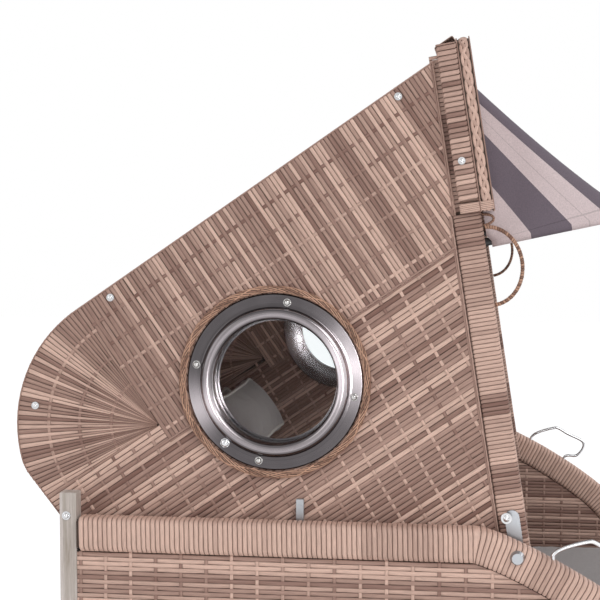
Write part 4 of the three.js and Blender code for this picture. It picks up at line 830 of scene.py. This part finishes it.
rim_three = hood_point(rim_path[:, 0], -0.0351, rim_path[:, 1])
rim_way = direction(rim_path)
rim_out = hood_way(0, 1)[None] * rim_way[:, :1] - np.array([1.0, 0, 0])[None] * rim_way[:, 1:]
rim_front = np.tile(-rear_way, (len(rim_path), 1))
work = StripWork()
for facing in (1, -1):
    face = rim_three + rim_out * 0.0278 * facing
    plait(work, face, rim_front, rim_out * facing, 0.0052, (0.95, 0.62, 0.85), 0.066, 0.0068)
    for edge in (-0.0105, 0.0105):
        work.lay(face + rim_front * (edge - 0.0011), face + rim_front * (edge + 0.0011), rim_out * facing, 0.3)
front_strands = (0.7, 0.4, 0.85, 0.3, 0.6, 0.8, 0.45, 0.2)
plait(work, rim_three + rim_front * 0.0113, rim_out, rim_front, 0.021, front_strands, 0.09, 0.0075)
fit(work.make("visor_rim_plait", woven_strip), "hood", "visor_rim")

# Portholes: a polished steel flange pressed and turned, held by domed nuts and one capped screw, a
# clear pane behind it, a flat counter ring inside and a wreath of twisted cane laid round it.


def hoops(pairs, turns, out):
    """The faces between rings of points, from pairs of the rings' first numbers"""
    return [(a + i, a + (i + 1) % turns, b + (i + 1) % turns, b + i)[::out] for a, b in pairs for i in range(turns)]


def turned_ring(name, profile, material, out, segments=160, row_highlight=0.0):
    """A ring turned on the porthole's axis from (radius, distance out of the side's face) pairs; its last argument
    gives each row a painted highlight, and two sectors get a stronger painted highlight than the rest"""
    angles = np.linspace(0, 2 * math.pi, segments, endpoint=False)
    points = []
    for radius, level in profile:
        flat = port_middle + circle(radius, angles)
        points.append(hood_point(out * (SIDE_FACE + level), flat[:, 0], flat[:, 1]))
    rows = len(profile)
    starts = [i * segments for i in range(rows)]
    faces = hoops(zip(starts, starts[1:] + starts[:1]), segments, out)
    made = mesh_object(name, np.concatenate(points), faces, material, smooth=True)
    turn = np.degrees(angles)
    # Painted highlight: two sectors of the ring made brighter, where its reflections of the lamps should fall, varied
    # from row to row
    highlight_sectors = np.exp(-(((turn - 176) / 26) ** 2)) + 0.7 * np.exp(-((((turn + 190) % 360 - 180) / 16) ** 2))
    highlight_row_spread = (0.85 + 0.3 * np.cos(np.arange(rows) * 2.3))[:, None]
    painted_highlight = np.clip(np.broadcast_to(row_highlight, rows)[:, None] + highlight_sectors * highlight_row_spread, 0, 1)
    made.data.attributes.new("painted_highlight", "FLOAT", "POINT").data.foreach_set("value", painted_highlight.ravel())
    return made


def dome(name, place, out, radius, height, material, sides=6, washer=1.45):
    """A domed nut on a washer, on the face at place that looks along out"""
    points, rows = [], []
    outline = [(radius * washer, 0.0, 0), (radius * washer, 0.0009, 0), (radius * washer * 0.96, 0.0012, 0),
               (radius, 0.0012, 1), (radius, height * 0.45, 1), (radius * 0.9, height * 0.5, 0)]
    outline += [(radius * 0.86 * math.cos(t), height * (0.5 + 0.5 * math.sin(t)), 0) for t in np.linspace(0, 1.5, 6)]
    turns = 36
    for ring, level, cornered in outline:
        rows.append(len(points))
        for i in range(turns):
            angle = 2 * math.pi * i / turns
            grow = 1.0
            if cornered:
                within = (angle % (2 * math.pi / sides)) - math.pi / sides
                grow = math.cos(math.pi / sides) / math.cos(within) * 1.08
            points.append(np.array(place) + np.array([out * level, 0, 0]) + hood_way(1, 0) * ring * grow * math.cos(angle)
                          + hood_way(0, 1) * ring * grow * math.sin(angle))
    faces = hoops(zip(rows, rows[1:]), turns, out)
    faces.append(tuple(range(rows[-1], rows[-1] + turns))[::out])
    made = mesh_object(name, points, faces, material, smooth=True)
    made.data.set_sharp_from_angle(angle=math.radians(35))
    return made


metal = Effect("metal_wear_and_painted_highlight", Tint=(0.7, 0.7, 0.71, 1), Gloss=0.16, Scuff=0.3)
smear, scratch = metal.noise(metal.place, 26.0, 4.0, 0.6), metal.noise(metal.place, 340.0, 3.0, 0.7)
# The attribute read here is a painted highlight laid on the porthole rings: it multiplies the tint up to nearly tenfold
# where the steel should show bright reflections
painted_highlight = metal.node("ShaderNodeAttribute", attribute_name="painted_highlight").outputs["Fac"]
highlight_gain = metal.calc("MULTIPLY_ADD", painted_highlight, 8.6, 1.0)
mottle = metal.calc("MULTIPLY_ADD", smear, 0.16, 0.92)
blur = metal.calc("MULTIPLY", metal.calc("SUBTRACT", smear, 0.35), metal.given["Scuff"])
metal.give(metal.given["Tint"], metal.calc("MULTIPLY", mottle, highlight_gain),
           metal.calc("ADD", blur, metal.given["Gloss"]), scratch)


def steel(name, height, metallic=1.0, **sockets):
    return dressed(name, metal, height, sockets, metallic, 0.0002)


# Its tint is far darker than steel's own: painted dark reflection, standing in for the dark surroundings the steel
# would mirror
polished_steel = steel("polished_steel", 0.05, Tint=(0.082, 0.074, 0.077, 1), Gloss=0.16)
nut_steel = steel("nut_steel", 0.05, Tint=(0.45, 0.44, 0.43, 1), Gloss=0.1)
zinc = steel("zinc_plate", 0.15, Tint=(0.36, 0.37, 0.39, 1), Gloss=0.32, Scuff=0.5)
bright_wire = steel("bright_wire", 0.05, Tint=(0.6, 0.6, 0.61, 1), Gloss=0.12)
pane_glass, tree, shader = new_material("pane_glass", {
    "Transmission Weight": 1.0, "Base Color": (0.93, 0.95, 0.95, 1), "IOR": 1.12})
where = node(tree, "ShaderNodeTexCoord").outputs["Object"]
smudge = node(tree, "ShaderNodeTexNoise", Scale=9.0, Detail=4.0, Vector=where)
film = node(tree, "ShaderNodeMapRange", Value=smudge.outputs["Fac"],
            **{"From Min": 0.4, "From Max": 0.8, "To Min": 0.02, "To Max": 0.06})
tree.links.new(film.outputs[0], shader.inputs["Roughness"])

TUBE_END, TUBE_BORE, FLANGE = -0.0283, 0.105, 0.1488
flange_line = [(0.1059, TUBE_END), (0.1059, 0.0003), (FLANGE, 0.0003), (0.1489, 0.0012), (0.1483, 0.0027),
               (0.1469, 0.0033)]
flange_line += [(0.1466 - 0.0003 * number, 0.0033 + 0.00006 * (number % 2)) for number in range(1, 54)]  # turning marks
flange_line += [(0.1284, 0.0034), (0.1268, 0.0036), (0.1257, 0.0052)]
flange_line += [(0.11535 + 0.0104 * math.cos(t), 0.0033 + 0.0096 * math.sin(t) + 0.00004 * (-1) ** number)
                for number, t in enumerate(np.linspace(0.3, math.pi - 0.25, 40))]
flange_line += [(TUBE_BORE + 0.00025 * (number % 2), 0.0018 - number * 0.00201) for number in range(15)]
flange_line += [(TUBE_BORE, TUBE_END)]
# Painted highlight for each row of the flange: faint on the turning marks, streaks on the raised ring and inside the
# bore
flange_row_highlight = np.concatenate([np.zeros(6), chance.uniform(0, 0.05, 53), np.zeros(3),
                                np.repeat(chance.uniform(0.0, 0.32, 10), 4), chance.uniform(0.0, 0.4, 16)])
counter_line = [(0.1072, TUBE_END), (0.1072, -0.0349), (0.1012, -0.0349), (0.1012, -0.0376), (0.102, -0.0379),
                (0.1454, -0.0379), (0.1459, -0.0376), (0.1489, -0.0286), (FLANGE, TUBE_END)]
cane_colours = {"Light": (0.6, 0.35, 0.24, 1), "Dark": (0.1, 0.036, 0.02, 1)}
strand_pale = dressed("cane_strand", strip, 0.3, cane_colours, distance=0.0003)
WREATH, WREATH_RISE, LAYS, CANES, CROSSING = 0.1564, 0.0069, 8, 9, 4
wreath_core = [(WREATH + 0.0046 * math.cos(t), WREATH_RISE + 0.0046 * math.sin(t))
               for t in np.linspace(0, 2 * math.pi, 12, endpoint=False)][::-1]
ring = np.linspace(0, 2 * math.pi, 721)
radial = circle(1, ring)
for side, out in SIDES:
    flange = turned_ring(f"porthole_rim_{side}", flange_line, polished_steel, out, row_highlight=flange_row_highlight)
    # The counter ring gets an even painted highlight as well as the two brighter sectors
    counter = turned_ring(f"porthole_counter_{side}", counter_line[::-1], polished_steel, out, row_highlight=0.2)
    flange.data.set_sharp_from_angle(angle=math.radians(50))
    counter.data.set_sharp_from_angle(angle=math.radians(30))
    fit(flange, "hood", f"porthole_flange_{side}")
    fit(counter, "hood", f"porthole_ring_{side}")
    for number, degrees in enumerate((108, 20.8, 198.6, 290.3)):
        at = hood_point(0.5834 * out, *turned(port_middle, 0.1357, degrees))
        nut = dome(f"porthole_nut_{side}_{number}", at, out, 0.0058, 0.0078, nut_steel, washer=1.2)
        fit(nut, "hood")
    at = hood_point(0.5834 * out, *turned(port_middle, 0.134, 317.9))
    fit(dome(f"porthole_cap_{side}", at, out, 0.0076, 0.0062, bright_wire, washer=1.05), "hood")
    work = StripWork()
    eye = port_middle + radial * WREATH
    axis = hood_point(out * (SIDE_FACE + WREATH_RISE), eye[:, 0], eye[:, 1])
    for number in range(CANES + CROSSING):
        crossing = number >= CANES
        around = ring * LAYS * (-1 if crossing else 1) + 2 * math.pi * number / (CROSSING if crossing else CANES)
        off = 0.0056 + (0.0008 * np.cos(ring * LAYS * 6 + number * 2.1) if crossing else 0.0003 * (number % 3 - 1))
        flat = port_middle + radial * (WREATH + off * np.cos(around))[:, None]
        middle = hood_point(out * (SIDE_FACE + WREATH_RISE + off * np.sin(around)), flat[:, 0], flat[:, 1])
        up = middle - axis
        up /= np.linalg.norm(up, axis=1)[:, None]
        square = np.cross(direction(middle), up)
        tone = float(chance.uniform(0.1, 1.0))
        work.lay(middle - square * 0.00105, middle + square * 0.00105, up, tone, 0.0012, 0.28)
    fit(work.make(f"porthole_wreath_strands_{side}", strand_pale), "hood", f"porthole_wreath_{side}")
    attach(turned_ring(f"porthole_wreath_core_{side}", wreath_core, dark_core, out, 96), "hood")
    shown(pane_glass, f"porthole_pane_{side}")

# Grab handles: a bowed rod on each front post, wound with fine strip and let into the post at both
# feet, with a second, shorter turn by the upper foot.


def tube(name, path, radius, resolution, material, closed=False):
    """A round bar along a path"""
    return from_curve(name, [path], closed, material, dimensions="3D", bevel_depth=radius, bevel_resolution=resolution)


bow = np.linspace(0, math.pi, 40)
thin = circle(0.0036, np.linspace(0, 2 * math.pi, 10, endpoint=False))
for side, out in SIDES:
    work = StripWork()
    path = hood_point(0.558 * out, -0.0233 - 0.0546 * np.sin(bow), 0.469 + 0.065 * np.cos(bow))
    wrap(work, path, (1, 0, 0), np.cross(direction(path), (1.0, 0, 0)), thin, 0.0042,
         lambda d: float(chance.choice([0.25, 0.75])), 0.0007, 0.92)
    short = hood_point(0.558 * out, -0.0233 - 0.019 * np.sin(bow), 0.546 + 0.009 * np.cos(bow))
    wrap(work, short, (1, 0, 0), np.cross(direction(short), (1.0, 0, 0)), thin * 0.7, 0.0042,
         lambda d: 0.45, 0.0007, 0.95)
    fit(work.make(f"grab_handle_wrap_{side}", strand_pale), "hood", f"grab_handle_{side}")
    fit(tube(f"grab_handle_rod_{side}", path, 0.0029, 3, dark_core), "hood")

# Pivot plates, bolts, brackets, strut rods, knobs, screws and tubes: zinc-plated steel, turned wood,
# screws in the side panels, visor and rear slats, and the dark powder-coated tubes of struts and awning.
dark_tube = steel("dark_tube", 0.1, 0.0, Tint=(0.028, 0.028, 0.031, 1), Gloss=0.34, Scuff=0.3)
shown(dark_tube, "awning_bow")
for side, out in SIDES:
    shown(zinc, f"pivot_plate_{side}", f"pivot_bolt_{side}", f"strut_bracket_{side}", f"strut_rod_{side}")
    shown(board_along_x, f"footrest_knob_{side}")
    shown(dark_tube, f"strut_cylinder_{side}")
    for number, (x, u, v, radius) in enumerate((
        (0.5804, 0.082, 0.767, 0.0042), (0.5804, 0.615, 0.512, 0.0042), (0.5804, 0.776, 0.348, 0.0042),
        (0.5967, -0.005, 0.646, 0.004), (0.5948, 0.009, 0.056, 0.0058),
    )):
        at = hood_point(x * out, u, v)
        screw = dome(f"hood_screw_{side}_{number}", at, out, radius, radius * 0.8, bright_wire, washer=1.6)
        fit(screw, "hood")
    at = (0.6321 * out, 0.5401, 0.786)
    fit(dome(f"rear_post_bolt_{side}", at, out, 0.0052, 0.006, bright_wire), "base")

# Wire loops: bright round wire bent in one piece, low at the front, with both feet let into the
# fall of the arm.
wire_shares = np.array([(-0.166, -0.05), (-0.172, 0.004), (-0.225, 0.04), (-0.325, 0.07), (-0.365, 0.068),
                        (-0.43, 0.03), (-0.52, -0.012), (-0.545, -0.045), (-0.53, -0.09), (-0.49, -0.128),
                        (-0.44, -0.128), (-0.41, -0.138), (-0.4, -0.18)])
wire_ends = np.concatenate([wire_shares[:1], wire_shares, wire_shares[-1:]]) * 0.34
bends = []
for a, b, c, d in zip(wire_ends, wire_ends[1:], wire_ends[2:], wire_ends[3:]):
    bends.append(bezier([b, b + (c - a) / 6, c - (d - b) / 6, c], 10)[:-1])
bends = np.concatenate(bends + [wire_ends[-1:]]) + PIVOT
for side, out in SIDES:
    path = np.c_[np.full(len(bends), ARM_ASIDE * out), bends]
    fit(tube(f"wire_bent_{side}", path, 0.0035, 4, bright_wire), "base", f"wire_loop_{side}")

# Cushions: foam in a dove-grey woven cover with light piping round both edges, two on the seat, two
# on the back with a neck pillow each, and a pad on each footrest.
cover = Effect("cover_weave", Tint=(0.26, 0.232, 0.228, 1), Fleck=(0.38, 0.348, 0.34, 1), Thread=900.0)
waves = []
for part in cover.node("ShaderNodeSeparateXYZ", Vector=cover.place).outputs:
    turn_by = cover.calc("MULTIPLY", part, cover.given["Thread"])
    waves.append(cover.calc("SINE", cover.calc("MULTIPLY", turn_by, 2 * math.pi)))
crossed = cover.calc("ADD", cover.calc("MULTIPLY", waves[0], waves[1]), cover.calc("MULTIPLY", waves[0], waves[2]))
slub, shadow = cover.noise(cover.place, 420.0, 3.0, 0.7), cover.noise(cover.place, 5.0, 2.0)
tinted = mixed(cover.tree, cover.spread(slub, 0.42, 0.62), cover.given["Tint"], cover.given["Fleck"])
cover.give(tinted, cover.calc("MULTIPLY_ADD", shadow, 0.2, 0.9), cover.calc("MULTIPLY_ADD", slub, 0.1, 0.82),
           cover.calc("ADD", cover.calc("MULTIPLY", crossed, 0.25), slub))
cover_cloth = dressed("cover_cloth", cover, 0.4, {}, distance=0.0005)
cover_cloth.node_tree.nodes["Principled BSDF"].inputs["Sheen Weight"].default_value = 0.25
piping_colours = {"Tint": (0.5, 0.47, 0.44, 1), "Fleck": (0.62, 0.59, 0.56, 1)}
piping_cloth = dressed("piping_cloth", cover, 0.4, piping_colours, distance=0.0003)


def as_shown(made):
    """An object's mesh with its modifiers applied"""
    return made.evaluated_get(bpy.context.evaluated_depsgraph_get())


def settled(name, placed, faces, seams, ease, cap, axes, size):
    """How far each point of a cover moves as its filling presses the cloth out between the seams.
    ease is 1 by the seams, where the cloth was cut a little full, and 0 in the middle"""
    body = mesh_object(name, placed, faces)
    for label, weights in (("seam", seams), ("ease", ease)):
        held = body.vertex_groups.new(name=label)
        for index in np.nonzero(weights > 0)[0]:
            held.add([int(index)], float(weights[index]), "REPLACE")
    cloth = body.modifiers.new("cover", "CLOTH")
    settings = cloth.settings
    settings.quality, settings.mass = 5, 0.25
    settings.tension_stiffness = settings.compression_stiffness = 12
    settings.shear_stiffness, settings.bending_stiffness = 4, 0.02
    settings.use_pressure, settings.uniform_pressure_force = True, 5
    settings.effector_weights.gravity = 0
    settings.vertex_group_mass, settings.vertex_group_shrink = "seam", "ease"
    settings.shrink_min, settings.shrink_max = -0.01, -0.1
    cloth.collision_settings.use_collision = False
    cloth.point_cache.frame_start, cloth.point_cache.frame_end = 1, 20
    for number in range(1, 21):
        bpy.context.scene.frame_set(number)
    co = np.empty(len(placed) * 3)
    as_shown(body).data.vertices.foreach_get("co", co)
    bpy.context.scene.frame_set(1)
    shape = body.data
    bpy.data.objects.remove(body)
    bpy.data.meshes.remove(shape)
    moved = co.reshape(-1, 3) - placed
    far = np.linalg.norm(moved, axis=1)
    moved *= (cap * np.tanh(far / cap) / np.maximum(far, 1e-9))[:, None]
    middle = placed.mean(0)
    inside = (placed + moved - middle) @ axes.T
    limit = np.array(size) / 2 + np.array([0.004, 0.005, 0.006])
    low = np.array([-limit[0], -limit[1], ((placed - middle) @ axes.T)[:, 2].min()])
    return (np.clip(inside, low, limit) @ axes) + middle - placed


def patch(columns, rows):
    """The faces of a grid of points, numbered along its columns"""
    return [(a, a + rows, a + rows + 1, a + 1) for a in (i * rows + j for i in range(columns - 1) for j in range(rows - 1))]


covers = {}  # one settled cover for each size
DRAW, CORNER = 0.008, 0.032  # how far the sides draw in, and the radius of the corners


def stuffed(name, middle, size, along, swell, body, fill, replaced):
    """A boxed cushion: crowned faces, sides that draw in between the corners, and two piped edges"""
    across, along = np.array((1, 0, 0), float), np.array(along, float)
    up = np.cross(across, along)
    wide, long, thick = size
    columns, rows = ((max(24, round(wide / 0.0085)), max(18, round(long / 0.0085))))
    s, t = np.meshgrid(np.linspace(-1, 1, columns), np.linspace(-1, 1, rows), indexing="ij")
    crown = ((1 - s ** 4) * (1 - t ** 4)) ** 0.55
    wrinkle = 0.0012 * np.sin(9 * s + 4 * t) * np.sin(7 * t - 3 * s) * crown
    side = thick / 2 * (0.64 if thick > 0.09 else 0.42)
    points, faces = [], []
    for top in (1, -1):
        level = side + (thick / 2 - side) * crown * (1 if top > 0 else 0.4) + wrinkle
        flat = np.stack([s * (wide / 2 - DRAW * (1 - t ** 4)), t * (long / 2 - DRAW * (1 - s ** 4))], -1)
        reach = np.maximum(np.abs(flat) - (np.array([wide, long]) / 2 - CORNER), 0)
        stretch = np.linalg.norm(reach, axis=-1)
        square = np.maximum(reach.max(-1), 1e-9)
        factor = np.where(stretch > 1e-9, square / np.maximum(stretch, 1e-9), 1)
        flat = np.sign(flat) * (np.abs(flat) - reach + reach * factor[..., None])
        points.append(np.concatenate([flat, (top * level)[..., None]], -1).reshape(-1, 3))
    total = columns * rows
    for a, b, c, d in patch(columns, rows):
        faces += [(a, b, c, d), (a + total, d + total, c + total, b + total)]
    rim = [i * rows for i in range(columns)] + [(columns - 1) * rows + j for j in range(1, rows)]
    rim += [i * rows + rows - 1 for i in range(columns - 2, -1, -1)] + list(range(rows - 2, 0, -1))
    rim = np.array(rim)
    points = np.concatenate(points)
    rings = [rim]
    for step in (0.75, 0.5, 0.25):
        between = points[rim] * step + points[rim + total] * (1 - step)
        between[:, :2] *= 1 + np.array([0.012 / wide, 0.012 / long]) * (1 - (2 * step - 1) ** 2)
        rings.append(len(points) + np.arange(len(rim)))
        points = np.concatenate([points, between])
    rings.append(rim + total)
    for upper, lower in zip(rings, rings[1:]):
        for i in range(len(rim)):
            k = (i + 1) % len(rim)
            faces.append((upper[i], lower[i], lower[k], upper[k]))
    placed = np.array(middle) + points[:, :1] * across + points[:, 1:2] * along + points[:, 2:] * up
    if size not in covers:
        seams = np.zeros(len(points))
        seams[np.concatenate([rings[0], rings[-1]])] = 1
        from_seam = np.minimum(wide / 2 - np.abs(points[:, 0]), long / 2 - np.abs(points[:, 1]))
        ease = np.clip(1 - from_seam / 0.09, 0, 1)
        covers[size] = settled(name, placed, faces, seams, ease, swell, np.stack([across, along, up]), size)
    placed = placed + covers[size]
    made = mesh_object(name, placed, faces, cover_cloth, smooth=True)
    finer = made.modifiers.new("finer", "SUBSURF")
    finer.levels = finer.render_levels = 1
    made.data = bpy.data.meshes.new_from_object(as_shown(made))
    made.modifiers.clear()
    fit(made, body, replaced)
    for label, lift, ring in (("upper", 0.001, rings[0]), ("lower", -0.001, rings[-1])):
        fit(tube(f"{name}_piping_{label}", placed[ring] + up * lift, 0.0034, 2, piping_cloth, True), body)


back_in = np.array([-math.sin(BACK), math.cos(BACK)])
for side, out in SIDES:
    stuffed(f"seat_cover_{side}", (0.274 * out, -0.236, 0.4493), (0.53, 0.607, 0.098), (0, 1, 0), 0.02, "base", 0.75,
            f"seat_cushion_{side}")
    stuffed(f"footrest_cover_{side}", (0.2695 * out, -0.28415, 0.2849), (0.493, 0.5, 0.0615), (0, 1, 0), 0.01,
            f"footrest_{side}", 0.6, f"footrest_pad_{side}")
    for label, size, down, inset, fill, replaced in (
        ("back", (0.53, 0.628, 0.118), 0.382, 0.0833, 0.75, "back_cushion"),
        ("neck", (0.42, 0.144, 0.072), 0.157, 0.1771, 0.85, "neck_pillow"),
    ):
        at = hood_point(0.274 * out, *(rear_curve[-1] + back_way * down + back_in * inset))
        stuffed(f"{label}_cover_{side}", at, size, hood_way(*-back_way), 0.02, "hood", fill, f"{replaced}_{side}")

# Awning: a bent dark tube whose ends turn in the front posts, and a striped cloth from the mouth of
# the hood to the tube, with a rounded shoulder and a hanging gusset at each side.
HINGE, SLEEVE, MOUTH = 0.507, 0.0097, 0.0263  # of the bow; of the cloth round it; of the cloth ahead of the pivot
bow_side, bow_reach, bow_corner = 0.5238, 0.252, 0.05
arm_run, corner_run, front_run = bow_reach - bow_corner, bow_corner * math.pi / 2, 2 * (bow_side - bow_corner)
bow_length = 2 * (arm_run + corner_run) + front_run


def on_bow(distance):
    """Place on the tube's middle line as (x, u), and its outward direction"""
    half = bow_length / 2
    side = 1 if distance <= half else -1
    run = distance if distance <= half else 2 * half - distance
    if run < arm_run:
        return side * bow_side, -run, (side, 0)
    if run < arm_run + corner_run:
        angle = (run - arm_run) / bow_corner
        return (side * (bow_side - bow_corner + bow_corner * math.cos(angle)), -arm_run - bow_corner * math.sin(angle),
                (side * math.cos(angle), -math.sin(angle)))
    return side * (bow_side - bow_corner - (run - arm_run - corner_run)), -bow_reach, (0, -1)


BANDS = (0.107, 0.19, 0.262)  # from a hinge to the first edges of the sewn stripes


def on_cloth(distance, marks):
    """The sewn stripes' own scale at a distance from a hinge, either way round the cloth"""
    half = marks[-1]
    run = np.interp(min(distance, 2 * half - distance), marks, (0, *BANDS, bow_length / 2))
    return run if distance <= half else bow_length - run


cloth_side, crown_v, shoulder = 0.5342, 0.7887, 0.022
sheet_start = MOUTH + 0.007
rails = []
for i in range(15):
    t = i / 14
    gusset = (cloth_side, HINGE + 0.012 + (crown_v - shoulder - HINGE - 0.012) * t)
    rails.append((gusset, sheet_start + (arm_run - sheet_start) * t, 0.0))
for i in range(1, 13):
    t = i / 12
    angle = t * math.pi / 2
    corner = (cloth_side - shoulder + shoulder * math.cos(angle), crown_v - shoulder + shoulder * math.sin(angle))
    rails.append((corner, arm_run + corner_run * t, t))
for i in range(1, 73):
    t = i / 72
    rails.append((((cloth_side - shoulder) * (1 - 2 * t), crown_v), arm_run + corner_run + front_run * t, 1.0))
rails += [((-x, v), bow_length - run, part) for (x, v), run, part in rails[25::-1]]
mouth_run = np.concatenate([[0], np.cumsum([math.dist(a[0], b[0]) for a, b in zip(rails, rails[1:])])])
DOWN, ROUND = 30, 12  # rows of the cloth down to the tube and round it
grid, stripe_at = [], []
for number, ((x, v), run, part) in enumerate(rails):
    at_mouth = on_cloth(mouth_run[number], (0, 0.1137, 0.2, 0.246, mouth_run[-1] / 2))
    at_bow = on_cloth(run, (0, 0.1, 0.168, 0.226, bow_length / 2))
    stripe_at.append(at_mouth + (at_bow - at_mouth) * np.minimum(np.arange(DOWN + ROUND + 1) / DOWN, 1))
    bx, bu, outward = on_bow(run)
    centre = np.array([bx, bu, HINGE - 0.014 * bu / bow_reach])
    outward = np.array([outward[0], outward[1], 0.0])
    start = 90 + (43 - 90) * part
    line = []
    for step in range(DOWN + ROUND + 1):
        angle = math.radians(start + (190 * (step - DOWN) / ROUND if step > DOWN else 0))
        on_tube = centre + outward * SLEEVE * math.sin(angle) + np.array([0, 0, SLEEVE * math.cos(angle)])
        if step >= DOWN:
            line.append(on_tube)
            continue
        t = step / DOWN
        at = np.array([x, -MOUTH, v])
        point = at + (on_tube - at) * t
        slack = 4 * t * (1 - t) * np.linalg.norm(at - on_tube) / bow_reach
        point[2] -= 0.007 * part * slack - 0.004 * part * math.sin(7 * math.pi * x / cloth_side) * t * slack
        point[0] -= math.copysign(0.005 + 0.0025 * math.sin(9 * t + 14 * v), point[0]) * (1 - part) * slack
        line.append(point)
    grid.append(line)
grid, stripe_at = np.array(grid), np.array(stripe_at) / bow_length
columns, rows = grid.shape[:2]

stripes = Effect("stripe_weave", Dark=(0.147, 0.117, 0.141, 1), Light=(0.62, 0.51, 0.51, 1))
cut_out = stripes.node("ShaderNodeUVMap", uv_map="cut").outputs[0]
round_it, down_it = stripes.node("ShaderNodeSeparateXYZ", Vector=cut_out).outputs[:2]
band = stripes.node("ShaderNodeValToRGB", Fac=round_it)
band.color_ramp.interpolation = "CONSTANT"
edges_half = [*BANDS[:2]] + [BANDS[2] + (bow_length / 2 - BANDS[2]) / 5.5 * k for k in range(6)]
edges_all = [0.0] + edges_half + [bow_length - at for at in edges_half[::-1]]
for number, at in enumerate(edges_all):
    light = (number + 1) % 2
    stop = band.color_ramp.elements[number] if number < 2 else band.color_ramp.elements.new(at / bow_length)
    stop.position, stop.color = at / bow_length, (light, light, light, 1)
coloured = mixed(stripes.tree, band.outputs[0], stripes.given["Dark"], stripes.given["Light"])
thread = stripes.noise(stripes.place, 500.0, 2.0)
seam = stripes.calc("COMPARE", stripes.calc("PINGPONG", round_it, 0.5), 0.225 / bow_length, 0.0008)
hem = stripes.calc("COMPARE", down_it, (DOWN - 1.4) / (DOWN + ROUND), 0.0035)
stitched = stripes.calc("MAXIMUM", seam, hem)
shade = stripes.calc("SUBTRACT", stripes.calc("MULTIPLY_ADD", thread, 0.5, 0.75), stripes.calc("MULTIPLY", stitched, 0.22))
stripes.give(coloured, shade, stripes.calc("MULTIPLY_ADD", thread, 0.1, 0.85), stripes.calc("SUBTRACT", thread, stitched))
awning_stripe = dressed("awning_stripe", stripes, 0.3, {}, distance=0.0004)
canopy = mesh_object("awning_sheet", hood_point(*grid.reshape(-1, 3).T), patch(columns, rows), awning_stripe,
                     smooth=True)
cut_map = canopy.data.uv_layers.new(name="cut")
corner_of = np.array([loop.vertex_index for loop in canopy.data.loops])
cut = np.stack([stripe_at.ravel()[corner_of], corner_of % rows / (rows - 1)], 1)
cut_map.uv.foreach_set("vector", cut.astype(np.float32).ravel())
thicken = canopy.modifiers.new("thickness", "SOLIDIFY")
thicken.thickness, thicken.offset = 0.0016, 0
canopy.data = bpy.data.meshes.new_from_object(as_shown(canopy))
canopy.modifiers.clear()
canopy.data.name = "awning_sheet"
tuple(hood_point(0.0, -0.03, 0.74))
tuple(hood_point(0.0, -0.236, 0.54))
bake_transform(canopy)
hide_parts("awning_cloth")
